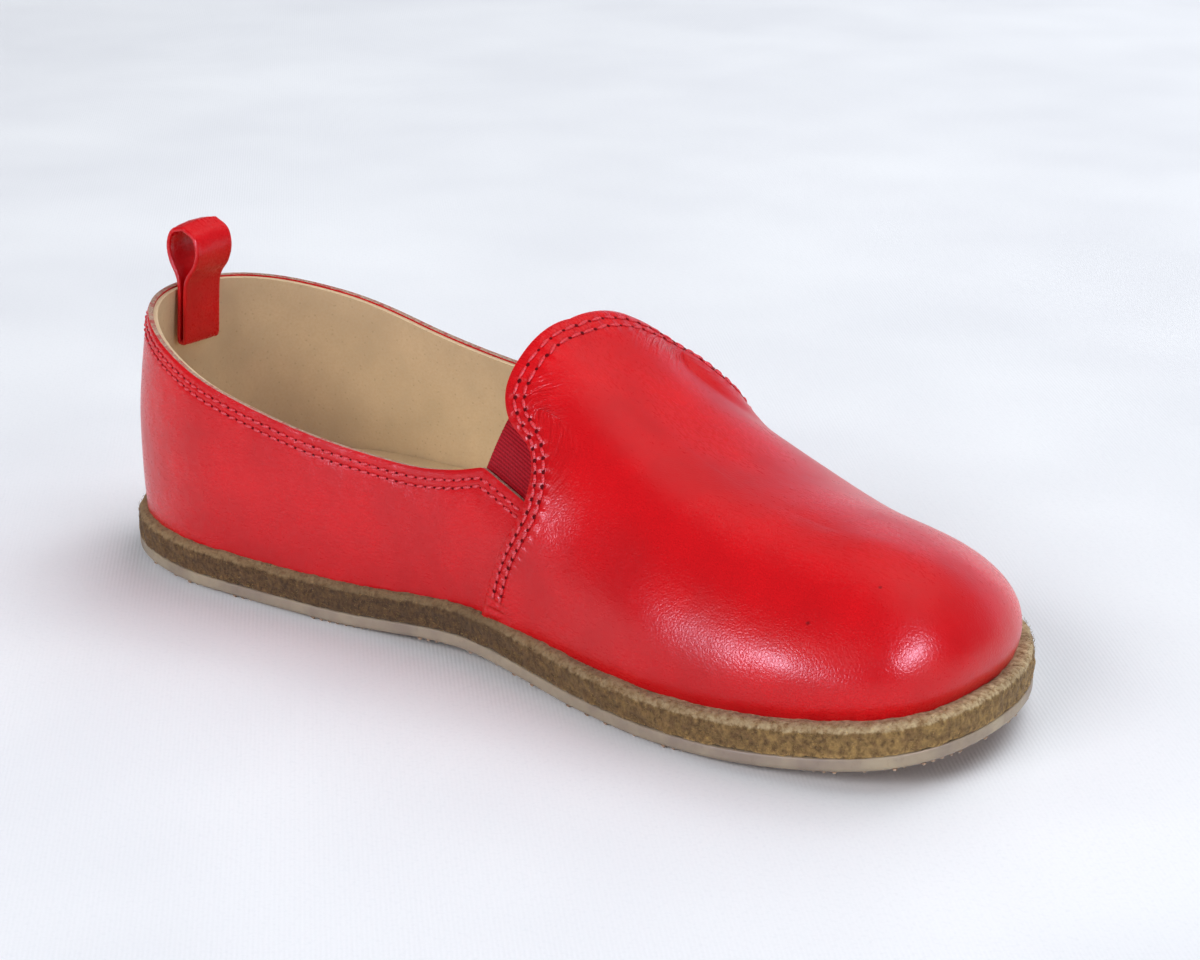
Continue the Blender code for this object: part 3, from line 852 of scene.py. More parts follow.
def bonded_thread(tint):
    """Bonded polyester thread, three-ply and waxed: slightly glossy with slanting plies."""
    material, tree, shader, place = surface("bonded polyester thread, red", Roughness=0.42, IOR=1.55)
    along = add(tree, "ShaderNodeAttribute", {}, attribute_name="along", out="Fac")
    height = add(tree, "ShaderNodeAttribute", {}, attribute_name="height", out="Fac")
    phase = add(tree, "ShaderNodeMath", {0: along, 1: 2.0 * math.pi / (0.42 * MM)}, operation="MULTIPLY")
    phase = add(tree, "ShaderNodeMath", {0: height, 1: 2.0 * math.pi / (0.9 * MM), 2: phase},
        operation="MULTIPLY_ADD")
    ply = add(tree, "ShaderNodeMath", {0: phase}, operation="SINE")
    bands = add(tree, "ShaderNodeMapRange", {"Value": ply, "From Min": -1.0, "From Max": 1.0})
    fuzz = add(tree, "ShaderNodeTexNoise", {"Vector": place, "Scale": 1000.0 / 0.3, "Detail": 2.0,
        "Roughness": 0.55})
    # Painted shade and light on the plies: darker in the grooves between them, lighter on their crests.
    ply_shaded = add(tree, "ShaderNodeMix", {FACTOR: bands, FIRST: [c * 0.84 for c in tint],
        SECOND: [min(c * 1.08, 1.0) for c in tint]}, data_type="RGBA")
    fuzz_share = add(tree, "ShaderNodeMapRange", {"Value": fuzz, "From Min": 0.52, "From Max": 0.8,
        "To Min": 0.0, "To Max": 0.45})
    colour = add(tree, "ShaderNodeMix", {FACTOR: fuzz_share, FIRST: ply_shaded,
        SECOND: linear("#E8656C")}, data_type="RGBA")
    tree.links.new(colour, shader.inputs["Base Color"])
    relief = add(tree, "ShaderNodeBump", {"Height": bands, "Distance": 0.04 * MM})
    tree.links.new(relief, shader.inputs["Normal"])
    return material


def needle_hole():
    """Punched hole in leather, drawn as painted shade: a dark, matt pit, paler red at its lip."""
    material, tree, shader, place = surface("needle hole, shadowed leather", Roughness=0.95,
                                            Specular_IOR_Level=0.1)
    grain = add(tree, "ShaderNodeTexNoise", {"Vector": place, "Scale": 1000.0 / 0.3, "Detail": 2.0,
        "Roughness": 0.55})
    depth = add(tree, "ShaderNodeAttribute", {}, attribute_name="height", out="Fac")
    # Painted shade of the hole: dark red-brown in the middle, paler at the lip where it meets the leather.
    pit_shade_share = add(tree, "ShaderNodeMapRange", {"Value": grain, "From Min": 0.3, "From Max": 0.8})
    pit_shade = add(tree, "ShaderNodeMix", {FACTOR: pit_shade_share, FIRST: linear("#4E070A"),
        SECOND: linear("#660B11")}, data_type="RGBA")
    colour_share = add(tree, "ShaderNodeMapRange", {"Value": depth, "From Min": 0.1 * MM,
        "From Max": 0.04 * MM})
    colour = add(tree, "ShaderNodeMix", {FACTOR: colour_share, FIRST: pit_shade, SECOND: linear("#93101A")},
        data_type="RGBA")
    tree.links.new(colour, shader.inputs["Base Color"])
    relief = add(tree, "ShaderNodeBump", {"Height": grain, "Distance": 0.05 * MM})
    tree.links.new(relief, shader.inputs["Normal"])
    return material


def ribbed_elastic(tint):
    """Woven shoe elastic, polyester over rubber: matt ribs a little paler than the gaps between, which hold
    painted shade; the crossing threads' crests carry a painted highlight.
    """
    material, tree, shader, place = surface("woven elastic, dark red", Roughness=0.82,
                                            Specular_IOR_Level=0.2)
    rib = add(tree, "ShaderNodeAttribute", {}, attribute_name="rib", out="Fac")
    pick = add(tree, "ShaderNodeAttribute", {}, attribute_name="pick", out="Fac")
    cross = add(tree, "ShaderNodeMath", {0: pick}, operation="SINE")
    cross = add(tree, "ShaderNodeMapRange", {"Value": cross, "From Min": -1.0, "From Max": 1.0})
    fuzz = add(tree, "ShaderNodeTexNoise", {"Vector": place, "Scale": 1000.0 / 0.35, "Detail": 3.0,
        "Roughness": 0.55})
    # Painted highlight: the crossing threads are paler on their crests.
    crest_highlight_share = add(tree, "ShaderNodeMath", {0: cross, 1: 0.35}, operation="MULTIPLY")
    crest_highlight = add(tree, "ShaderNodeMix", {FACTOR: crest_highlight_share, FIRST: tint, SECOND: linear("#B82636")},
        data_type="RGBA")
    # Painted shade: the gaps between the ribs are darkened to two thirds of the elastic's red.
    rib_shade_share = add(tree, "ShaderNodeMapRange", {"Value": rib, "From Min": 0.0, "From Max": 0.8})
    ribbed = add(tree, "ShaderNodeMix", {FACTOR: rib_shade_share, FIRST: [c * 0.66 for c in tint],
        SECOND: crest_highlight}, data_type="RGBA")
    fuzz_share = add(tree, "ShaderNodeMapRange", {"Value": fuzz, "From Min": 0.5, "From Max": 0.8,
        "To Min": 0.0, "To Max": 0.2})
    colour = add(tree, "ShaderNodeMix", {FACTOR: fuzz_share, FIRST: ribbed,
        SECOND: linear("#C84452")}, data_type="RGBA")
    tree.links.new(colour, shader.inputs["Base Color"])
    height = add(tree, "ShaderNodeMath", {0: cross, 1: 0.5}, operation="MULTIPLY")
    height = add(tree, "ShaderNodeMath", {0: fuzz, 1: 0.5, 2: height}, operation="MULTIPLY_ADD")
    relief = add(tree, "ShaderNodeBump", {"Height": height, "Distance": 0.09 * MM})
    tree.links.new(relief, shader.inputs["Normal"])
    return material


def split_leather(tint, brown):
    """Vegetable-tanned split, sanded at the edge: matt, mottled brown nap with loose golden fibre."""
    material, tree, shader, place = surface("sanded split leather, brown", Roughness=0.95,
                                            Specular_IOR_Level=0.25, Sheen_Weight=0.08,
                                            Sheen_Roughness=0.55)
    ledge, foot, waist = (add(tree, "ShaderNodeAttribute", {}, attribute_name=mark, out="Fac")
                          for mark in ("ledge", "foot", "waist"))
    from_middle = add(tree, "ShaderNodeSeparateXYZ", {"Vector": place})
    # Towards the toe the edge is painted paler and more golden: partly its own sanded colour, partly
    # painted light falling on the toe.
    toe = add(tree, "ShaderNodeMapRange", {"Value": from_middle, "From Min": 0.0, "From Max": 85.0 * MM})
    nap = add(tree, "ShaderNodeTexNoise", {"Vector": place, "Scale": 1000.0 / 0.7, "Detail": 5.0,
        "Roughness": 0.68})
    brushed = add(tree, "ShaderNodeMapping", {"Scale": (1.0, 1.0, 0.8), "Vector": place})
    tufts = add(tree, "ShaderNodeTexNoise", {"Vector": brushed, "Scale": 1000.0 / 1.0, "Detail": 5.0,
        "Roughness": 0.65})
    blotch = add(tree, "ShaderNodeTexNoise", {"Vector": place, "Scale": 1000.0 / 11.0, "Detail": 3.0,
        "Roughness": 0.55})
    flecks = add(tree, "ShaderNodeTexVoronoi", {"Scale": 1000.0 / 0.95, "Vector": place})
    dark_share = add(tree, "ShaderNodeMapRange", {"Value": nap, "From Min": 0.36, "From Max": 0.66})
    dark = add(tree, "ShaderNodeMix", {FACTOR: dark_share, FIRST: linear("#3E2A14"), SECOND: brown},
        data_type="RGBA")
    side_share = add(tree, "ShaderNodeMapRange", {"Value": tufts, "From Min": 0.48, "From Max": 0.68,
        "To Min": 0.0, "To Max": 0.42})
    side = add(tree, "ShaderNodeMix", {FACTOR: side_share, FIRST: dark, SECOND: linear("#967242")},
        data_type="RGBA")
    streaks = add(tree, "ShaderNodeMapRange", {"Value": tufts, "From Min": 0.38, "From Max": 0.68,
        "To Min": 0.1, "To Max": 0.6})
    # Paler streaks towards the toe: partly sanding, partly painted light on the toe.
    sanded = add(tree, "ShaderNodeMath", {0: toe, 1: streaks}, operation="MULTIPLY")
    side = add(tree, "ShaderNodeMix", {FACTOR: sanded, FIRST: side, SECOND: linear("#AE9058")},
        data_type="RGBA")
    rim_share = add(tree, "ShaderNodeMapRange", {"Value": nap, "From Min": 0.3, "From Max": 0.55})
    rim = add(tree, "ShaderNodeMix", {FACTOR: rim_share, FIRST: linear("#6A4A2A"), SECOND: tint},
        data_type="RGBA")
    pale_tufts = add(tree, "ShaderNodeMapRange", {"Value": tufts, "From Min": 0.38, "From Max": 0.66})
    pale_and_lit_at_toe = add(tree, "ShaderNodeMapRange", {"Value": toe, "From Min": 0.0, "From Max": 1.0,
        "To Min": 0.15, "To Max": 0.8})
    pale = add(tree, "ShaderNodeMath", {0: pale_tufts, 1: pale_and_lit_at_toe}, operation="MULTIPLY")
    rim = add(tree, "ShaderNodeMix", {FACTOR: pale, FIRST: rim, SECOND: linear("#CBBA96")},
        data_type="RGBA")
    waver = add(tree, "ShaderNodeMapRange", {"Value": tufts, "From Min": 0.3, "From Max": 0.7,
        "To Min": -0.22, "To Max": 0.22})
    edge = add(tree, "ShaderNodeMath", {0: ledge, 1: waver}, operation="ADD")
    both_share = add(tree, "ShaderNodeMapRange", {"Value": edge, "From Min": 0.25, "From Max": 0.75})
    both = add(tree, "ShaderNodeMix", {FACTOR: both_share, FIRST: side, SECOND: rim}, data_type="RGBA")
    lower_nap = add(tree, "ShaderNodeMapRange", {"Value": nap, "From Min": 0.45, "From Max": 0.62})
    lower = add(tree, "ShaderNodeMath", {0: foot, 1: lower_nap}, operation="MULTIPLY")
    golden_and_lit_at_toe = add(tree, "ShaderNodeMapRange", {"Value": toe, "From Min": 0.0, "From Max": 1.0,
        "To Min": 0.35, "To Max": 1.0})
    golden = add(tree, "ShaderNodeMath", {0: lower, 1: golden_and_lit_at_toe}, operation="MULTIPLY")
    gold = add(tree, "ShaderNodeMix", {FACTOR: golden, FIRST: both, SECOND: linear("#C9A463")},
        data_type="RGBA")
    bit_size = add(tree, "ShaderNodeMapRange", {"Value": flecks, "From Min": 0.16, "From Max": 0.05})
    bit_places = add(tree, "ShaderNodeMapRange", {"Value": tufts, "From Min": 0.48, "From Max": 0.6})
    bits = add(tree, "ShaderNodeMath", {0: bit_size, 1: bit_places}, operation="MULTIPLY")
    flecked_share = add(tree, "ShaderNodeMath", {0: bits, 1: 0.8}, operation="MULTIPLY")
    flecked = add(tree, "ShaderNodeMix", {FACTOR: flecked_share, FIRST: gold, SECOND: linear("#C9A55A")},
        data_type="RGBA")
    # Painted shade under the lifted arch: the waist is darkened.
    shaded_share = add(tree, "ShaderNodeMath", {0: waist, 1: 0.42}, operation="MULTIPLY")
    shaded = add(tree, "ShaderNodeMix", {FACTOR: shaded_share, FIRST: flecked, SECOND: linear("#33271B")},
        data_type="RGBA")
    colour_share = add(tree, "ShaderNodeMapRange", {"Value": blotch, "From Min": 0.52, "From Max": 0.72,
        "To Min": 0.0, "To Max": 0.3})
    colour = add(tree, "ShaderNodeMix", {FACTOR: colour_share, FIRST: shaded, SECOND: linear("#4A3824")},
        data_type="RGBA")
    tree.links.new(colour, shader.inputs["Base Color"])
    height = add(tree, "ShaderNodeMath", {0: nap, 1: 0.7}, operation="MULTIPLY")
    for layer, weight in ((tufts, 0.5), (bits, 0.3)):
        height = add(tree, "ShaderNodeMath", {0: layer, 1: weight, 2: height}, operation="MULTIPLY_ADD")
    relief = add(tree, "ShaderNodeBump", {"Height": height, "Distance": 0.30 * MM})
    tree.links.new(relief, shader.inputs["Normal"])
    return material


def loose_fibre():
    """Single collagen fibres teased out by sanding: thin, pale gold, a little translucent."""
    material, tree, shader, place = surface("loose leather fibre, gold", Roughness=0.7)
    shade = add(tree, "ShaderNodeAttribute", {}, attribute_name="shade", out="Fac")
    tone = add(tree, "ShaderNodeTexNoise", {"Vector": place, "Scale": 1000.0 / 1.2, "Detail": 2.0,
        "Roughness": 0.55})
    light = add(tree, "ShaderNodeMix", {FACTOR: shade, FIRST: linear("#5E4830"),
        SECOND: linear("#C2A062")}, data_type="RGBA")
    colour_share = add(tree, "ShaderNodeMapRange", {"Value": tone, "From Min": 0.4, "From Max": 0.7,
        "To Min": 0.0, "To Max": 0.5})
    colour = add(tree, "ShaderNodeMix", {FACTOR: colour_share, FIRST: light, SECOND: linear("#8E7248")},
        data_type="RGBA")
    tree.links.new(colour, shader.inputs["Base Color"])
    relief = add(tree, "ShaderNodeBump", {"Height": tone, "Distance": 0.03 * MM})
    tree.links.new(relief, shader.inputs["Normal"])
    return material


def crepe_rubber(tint, under):
    """Natural crepe-like rubber, moulded: cloudy grey-beige, amber where light passes, soft gloss."""
    material, tree, shader, place = surface("moulded crepe rubber, amber-grey", Roughness=0.5, IOR=1.52,
                                            Subsurface_Weight=0.12, Subsurface_Scale=1.2 * MM,
                                            Subsurface_Radius=(1.0, 0.55, 0.3))
    base = add(tree, "ShaderNodeAttribute", {}, attribute_name="under", out="Fac")
    glow = add(tree, "ShaderNodeAttribute", {}, attribute_name="glow", out="Fac")
    cloud = add(tree, "ShaderNodeTexNoise", {"Vector": place, "Scale": 1000.0 / 7.0, "Detail": 3.0,
        "Roughness": 0.55})
    grime = add(tree, "ShaderNodeTexNoise", {"Vector": place, "Scale": 1000.0 / 1.1, "Detail": 4.0,
        "Roughness": 0.62})
    wall_share = add(tree, "ShaderNodeMapRange", {"Value": cloud, "From Min": 0.35, "From Max": 0.7})
    wall = add(tree, "ShaderNodeMix", {FACTOR: wall_share, FIRST: linear("#8A7B6D"), SECOND: tint},
        data_type="RGBA")
    tread_share = add(tree, "ShaderNodeMapRange", {"Value": cloud, "From Min": 0.3, "From Max": 0.7})
    tread = add(tree, "ShaderNodeMix", {FACTOR: tread_share, FIRST: linear("#98795F"), SECOND: under},
        data_type="RGBA")
    # Painted glow: light passing through the rubber is painted amber in a band just inside the underside's
    # edge.
    amber_clouds = add(tree, "ShaderNodeMapRange", {"Value": cloud, "From Min": 0.3, "From Max": 0.6})
    amber = add(tree, "ShaderNodeMath", {0: glow, 1: amber_clouds}, operation="MULTIPLY")
    warm_share = add(tree, "ShaderNodeMath", {0: amber, 1: 0.55}, operation="MULTIPLY")
    warm = add(tree, "ShaderNodeMix", {FACTOR: warm_share, FIRST: tread, SECOND: linear("#C47A4A")},
        data_type="RGBA")
    whole = add(tree, "ShaderNodeMix", {FACTOR: base, FIRST: wall, SECOND: warm}, data_type="RGBA")
    colour_share = add(tree, "ShaderNodeMapRange", {"Value": grime, "From Min": 0.58, "From Max": 0.78,
        "To Min": 0.0, "To Max": 0.35})
    colour = add(tree, "ShaderNodeMix", {FACTOR: colour_share, FIRST: whole, SECOND: linear("#75614F")},
        data_type="RGBA")
    tree.links.new(colour, shader.inputs["Base Color"])
    gloss = add(tree, "ShaderNodeMapRange", {"Value": grime, "From Min": 0.3, "From Max": 0.7,
        "To Min": 0.42, "To Max": 0.62})
    tree.links.new(gloss, shader.inputs["Roughness"])
    height = add(tree, "ShaderNodeMath", {0: grime, 1: 0.5}, operation="MULTIPLY")
    height = add(tree, "ShaderNodeMath", {0: cloud, 1: 0.4, 2: height}, operation="MULTIPLY_ADD")
    relief = add(tree, "ShaderNodeBump", {"Height": height, "Distance": 0.06 * MM})
    tree.links.new(relief, shader.inputs["Normal"])
    return material


def worn_tips(under):
    """The same rubber's raised dots: chalky pale on their scuffed tips."""
    material, tree, shader, place = surface("rubber tread dots, chalky tips", Roughness=0.58, IOR=1.52)
    height = add(tree, "ShaderNodeAttribute", {}, attribute_name="height", out="Fac")
    scuff = add(tree, "ShaderNodeAttribute", {}, attribute_name="scuff", out="Fac")
    grime = add(tree, "ShaderNodeTexNoise", {"Vector": place, "Scale": 1000.0 / 2.4, "Detail": 3.0,
        "Roughness": 0.55})
    tip = add(tree, "ShaderNodeMapRange", {"Value": height, "From Min": 0.16 * MM, "From Max": 0.34 * MM})
    pale = add(tree, "ShaderNodeMath", {0: tip, 1: scuff}, operation="MULTIPLY")
    body_share = add(tree, "ShaderNodeMapRange", {"Value": grime, "From Min": 0.35, "From Max": 0.7})
    body = add(tree, "ShaderNodeMix", {FACTOR: body_share, FIRST: under, SECOND: linear("#8F7157")},
        data_type="RGBA")
    colour = add(tree, "ShaderNodeMix", {FACTOR: pale, FIRST: body, SECOND: linear("#E6D6C2")},
        data_type="RGBA")
    tree.links.new(colour, shader.inputs["Base Color"])
    relief = add(tree, "ShaderNodeBump", {"Height": grime, "Distance": 0.04 * MM})
    tree.links.new(relief, shader.inputs["Normal"])
    return material


def lining_hide(tint):
    """Undyed pigskin lining: matt and pale, with shallow hair pores and a faint nap."""
    material, tree, shader, place = surface("undyed lining leather", Roughness=0.75)
    pores = add(tree, "ShaderNodeTexVoronoi", {"Scale": 1000.0 / 1.3, "Vector": place})
    pits = add(tree, "ShaderNodeMapRange", {"Value": pores, "From Min": 0.0, "From Max": 0.2,
        "To Min": 1.0, "To Max": 0.0})
    cloud = add(tree, "ShaderNodeTexNoise", {"Vector": place, "Scale": 1000.0 / 14.0, "Detail": 3.0,
        "Roughness": 0.55})
    nap = add(tree, "ShaderNodeTexNoise", {"Vector": place, "Scale": 1000.0 / 0.5, "Detail": 4.0,
        "Roughness": 0.55})
    body_share = add(tree, "ShaderNodeMapRange", {"Value": cloud, "From Min": 0.35, "From Max": 0.7})
    body = add(tree, "ShaderNodeMix", {FACTOR: body_share, FIRST: [c * 0.82 for c in tint], SECOND: tint},
        data_type="RGBA")
    nappy_share = add(tree, "ShaderNodeMapRange", {"Value": nap, "From Min": 0.4, "From Max": 0.7,
        "To Min": 0.0, "To Max": 0.3})
    nappy = add(tree, "ShaderNodeMix", {FACTOR: nappy_share, FIRST: body, SECOND: linear("#C9A982")},
        data_type="RGBA")
    colour_share = add(tree, "ShaderNodeMath", {0: pits, 1: 0.35}, operation="MULTIPLY")
    colour = add(tree, "ShaderNodeMix", {FACTOR: colour_share, FIRST: nappy, SECOND: linear("#8C6A48")},
        data_type="RGBA")
    tree.links.new(colour, shader.inputs["Base Color"])
    gloss = add(tree, "ShaderNodeMapRange", {"Value": nap, "From Min": 0.3, "From Max": 0.7,
        "To Min": 0.66, "To Max": 0.82})
    tree.links.new(gloss, shader.inputs["Roughness"])
    height = add(tree, "ShaderNodeMath", {0: nap, 1: 0.6}, operation="MULTIPLY")
    height = add(tree, "ShaderNodeMath", {0: pits, 1: -0.5, 2: height}, operation="MULTIPLY_ADD")
    relief = add(tree, "ShaderNodeBump", {"Height": height, "Distance": 0.09 * MM})
    tree.links.new(relief, shader.inputs["Normal"])
    return material


def backdrop_cloth():
    """Matt white cotton cloth with a fine slanting weave and faint clouding."""
    material, tree, shader, place = surface("white backdrop cloth", Roughness=0.9,
                                            Specular_IOR_Level=0.2)
    # Its threads are finer: the bands are drawn 0.7 mm apart, as coarse as they need to show.
    weave = add(tree, "ShaderNodeTexWave", {"Scale": 1000.0 / 1.6, "Distortion": 0.6,
        "Detail": 1.0, "Vector": place}, wave_type="BANDS", bands_direction="DIAGONAL", out="Fac")
    cloud = add(tree, "ShaderNodeTexNoise", {"Vector": place, "Scale": 1000.0 / 90.0, "Detail": 2.0,
        "Roughness": 0.55})
    fibre = add(tree, "ShaderNodeTexNoise", {"Vector": place, "Scale": 1000.0 / 0.8, "Detail": 3.0,
        "Roughness": 0.55})
    body_share = add(tree, "ShaderNodeMapRange", {"Value": cloud, "From Min": 0.35, "From Max": 0.7})
    body = add(tree, "ShaderNodeMix", {FACTOR: body_share, FIRST: linear("#DFE1E8"),
        SECOND: linear("#E8EAF0")}, data_type="RGBA")
    colour_share = add(tree, "ShaderNodeMapRange", {"Value": fibre, "From Min": 0.5, "From Max": 0.8,
        "To Min": 0.0, "To Max": 0.3})
    colour = add(tree, "ShaderNodeMix", {FACTOR: colour_share, FIRST: body, SECOND: linear("#D2D5DE")},
        data_type="RGBA")
    tree.links.new(colour, shader.inputs["Base Color"])
    height = add(tree, "ShaderNodeMath", {0: weave, 1: 0.6}, operation="MULTIPLY")
    height = add(tree, "ShaderNodeMath", {0: fibre, 1: 0.6, 2: height}, operation="MULTIPLY_ADD")
    relief = add(tree, "ShaderNodeBump", {"Height": height, "Distance": 0.03 * MM})
    tree.links.new(relief, shader.inputs["Normal"])
    return material


# ---- pieces ----------------------------------------------------------------------------------
FEATHER_SUNK = 0.38 * MM     # how far the upper's lower edge goes into the midsole


def sunk(points, turn_rows):
    """Lets the feather edge reach down into the midsole, so that no light shows under it."""
    points[turn_rows] -= np.array([0.0, 0.0, FEATHER_SUNK])
    return points


def vamp_side(side):
    """Outer and inner surfaces of one half of the vamp, with its grid, spans and lengths."""
    grid, spans, length = vamp_places(side)
    turn, row = grid[:, :, 0], grid[:, :, 1]
    rise = lap(spans, length, side)
    normals = normal_at(turn, row)
    outer = on_last(turn, row, -rise)
    outer = creased(outer, normals, VAMP_CREASES, side)
    outer = hollowed(outer, normals, side)
    outer = puckered(outer, normals, turn, row)
    inner = on_last(turn, row, sizes().vamp_leather - flesh_lap(spans, length, side))
    rim = np.zeros(turn.shape)
    rim[:, 0] = 1.0
    first, second = (stitch_span(row_mm, length)[:, None] for row_mm in STITCH_ROWS)
    lane = (spans - first) / (second - first)
    phase = np.broadcast_to(side * stitch_phase(length)[:, None], turn.shape)
    reach = np.broadcast_to(side * (length[-1] - length)[:, None] / MM, turn.shape)
    marks = (rim, lane, phase, reach, spans / MM, drawn_in(spans, length))
    return (sunk(outer, 0), sunk(inner, 0)) + marks


def build_vamp():
    """Vamp cut in one with its tongue."""
    inner_side = vamp_side(-1)
    outer_side = vamp_side(1)
    grids = [np.concatenate([a, b[-2::-1]]) for a, b in zip(inner_side, outer_side)]
    names = ("edge", "lane", "phase", "reach", "span", "drawn")
    shape = sheets(grids[:2], [(name, (values, values)) for name, values in zip(names, grids[2:])])
    walled(shape, "edge")
    return piece("vamp", shape, [looks("calf_red"), looks("cut_edge")],
                 ("upper",), sharp=55)


def seam_reach(points):
    """How far in front of the vamp's seam points are, seen from the side."""
    seam = smooth_path(SEAM + (GORE_TIP,), 12) * MM
    return points[..., 0] - np.interp(points[..., 2], seam[:, 1], seam[:, 0])


def top_line(x):
    """Height of the quarter's upper edge, seen from the side."""
    line = np.vstack([smooth_path(COLLAR, 12), NOTCH[1:]]) * MM
    return np.interp(x, line[:, 0], line[:, 1])


def row_under(turn, height):
    """Row at each station where the surface reaches a height given as a function of its place."""
    low = np.zeros(len(turn))
    high = np.full(len(turn), float(TOP))
    for _ in range(30):
        middle = 0.5 * (low + high)
        point = on_last(turn, middle)
        over = point[:, 2] > height(point[:, 0])
        high = np.where(over, middle, high)
        low = np.where(over, low, middle)
    return 0.5 * (low + high)


LAP_END = 13.0 * MM          # quarter carried on under the vamp
LINING_LAP = 8.0 * MM        # its lining and its stitches carried on so far
SPACING_ROW = 20.0           # row on which the quarter's stations are spaced evenly
TOE_MARGIN = 40              # stations left out at the toe while the ends are looked for
QUARTER_COLUMNS = 340
QUARTER_ROWS = 46
# First lines under the quarter's upper edge and its rows of stitching, in mm.
QUARTER_NEAR_EDGE = (0.0, 0.25, 0.5, 0.8, 1.1, 1.35, 1.55, 1.8, 2.1, 2.5, 2.85, 3.05, 3.3, 3.6, 4.0, 4.5)
QUARTER_STITCHES = (1.8, 3.2)
VAMP_LINING_INSIDE = 1.97 * MM            # depth of its inner face under the last's surface
QUARTER_LINING = (1.14 * MM, 1.96 * MM)   # depths of its two faces


def quarter_turns(reach):
    """Stations spaced evenly round the heel, ending a distance in front of the seam's foot on each side."""
    seam_foot = SEAM[0][0] * MM + reach
    turns = np.arange(SIDE, 3 * SIDE + 1, 0.5)
    points = on_last(turns, SPACING_ROW)
    head = turns <= 2 * SIDE - TOE_MARGIN
    inner_end = np.interp(-seam_foot, -points[head][:, 0], turns[head])
    tail = turns >= 2 * SIDE + TOE_MARGIN
    outer_end = np.interp(seam_foot, points[tail][:, 0], turns[tail])
    kept = (turns > inner_end) & (turns < outer_end)
    turns = np.concatenate([[inner_end], turns[kept], [outer_end]])
    length = run(on_last(turns, SPACING_ROW))
    return np.interp(np.linspace(0.0, length[-1], QUARTER_COLUMNS + 1), length, turns)


def quarter_places(turns, near):
    """Stations and rows of a sheet hanging from the collar line, and the distances from that line."""
    top = row_under(turns, top_line)
    grid = []
    spans = []
    for turn, highest in zip(turns, top):
        rows = np.linspace(highest, 0.0, 160)
        length = run(on_last(turn, rows))
        even = np.linspace(near[-1], length[-1], QUARTER_ROWS + 1)[1:]
        span = np.concatenate([near, even])
        grid.append(np.column_stack([np.full(len(span), turn), np.interp(span, length, rows)]))
        spans.append(span)
    return np.array(grid), np.array(spans)


def build_quarter():
    """Quarter in one piece round the heel, its ends carried on under the vamp."""
    near = np.array(QUARTER_NEAR_EDGE) * MM
    turns = quarter_turns(LAP_END)
    grid, spans = quarter_places(turns, near)
    turn, row = grid[:, :, 0], grid[:, :, 1]
    plain = on_last(turn, row)
    under = smoothstep((seam_reach(plain) - 0.4 * MM) / (8.0 * MM))
    rise = -0.2 * MM * bell(spans, 0.35 * MM)
    for stitch in QUARTER_STITCHES:
        rise -= 0.12 * MM * bell(spans - stitch * MM, 0.42 * MM) * (1.0 - under)
    rise += 0.05 * MM * bell(spans - 2.4 * MM, 0.5 * MM)
    wave = 0.10 * MM * np.sin(plain[..., 0] / (7.0 * MM) + 2.0 * np.sin(plain[..., 2] / (9.0 * MM)))
    rise += wave * bell(spans - 16.0 * MM, 10.0 * MM)
    outer = on_last(turn, row, 0.95 * MM * under - rise)
    thick = sizes().quarter_leather
    inner = on_last(turn, row, thick + 0.1 * MM * under)
    rim = np.zeros(turn.shape)
    rim[:, 0] = 1.0
    feather = (slice(None), -1)
    shape = sheets([sunk(outer, feather), sunk(inner, feather)], [("edge", (rim, rim))])
    walled(shape, "edge")
    return piece("quarter", shape, [looks("calf_red"), looks("cut_edge")],
                 ("upper",), sharp=55)


def build_linings():
    """Linings of vamp and quarter, butted at the seam and cut back a little from the edges."""
    lining = looks("lining_hide")
    halves = []
    for side in (-1, 1):
        grid, spans, length = vamp_places(side)
        lines = np.r_[2, 6:len(NEAR_EDGE):4, len(NEAR_EDGE):grid.shape[1] - 1:3, grid.shape[1] - 1]
        grid, spans = grid[::2, lines], spans[::2, lines]
        rise = flesh_lap(spans, length[::2], side)
        over_seam = 1.0 - smoothstep((length[::2] - length[-1] * 0.36) / (6.0 * MM))
        held_in = over_seam[:, None] * (1.0 - smoothstep((spans - 12.0 * MM) / (8.0 * MM)))
        skin = np.maximum(sizes().vamp_leather - rise + 0.03 * MM, 1.24 * MM * held_in)
        outer = on_last(grid[..., 0], grid[..., 1], skin)
        inner = on_last(grid[..., 0], grid[..., 1], VAMP_LINING_INSIDE)
        halves.append((outer, inner))
    grids = [np.concatenate([a, b[-2::-1]]) for a, b in zip(*halves)]
    front = piece("vamp_lining", walled(sheets(grids)), [lining], ("upper",), sharp=50)
    near = np.array((0.35, 0.8, 1.6, 3.0)) * MM
    turns = quarter_turns(LINING_LAP)[::2]
    grid, spans = quarter_places(turns, near)
    grid, spans = grid[:, ::2], spans[:, ::2]
    turn, row = grid[..., 0].copy(), grid[..., 1]
    ahead = seam_reach(on_last(turn, row))
    stop = np.clip(ahead + 0.5 * MM, 0.0, None)
    per_metre = 1.0 / np.linalg.norm(on_last(turn + 1.0, row) - on_last(turn, row), axis=-1)
    turn += np.where(turns[:, None] < 2 * SIDE, stop, -stop) * per_metre
    faces = [on_last(turn, row, depth) for depth in QUARTER_LINING]
    back = piece("quarter_lining", walled(sheets(faces)), [lining],
                 ("upper",), sharp=50)
    return front, back


GORE_COLUMNS = 33            # points along a rib
RIB_STEPS = 6                # rows across a rib
PICKS = 30                   # crossing threads along a rib


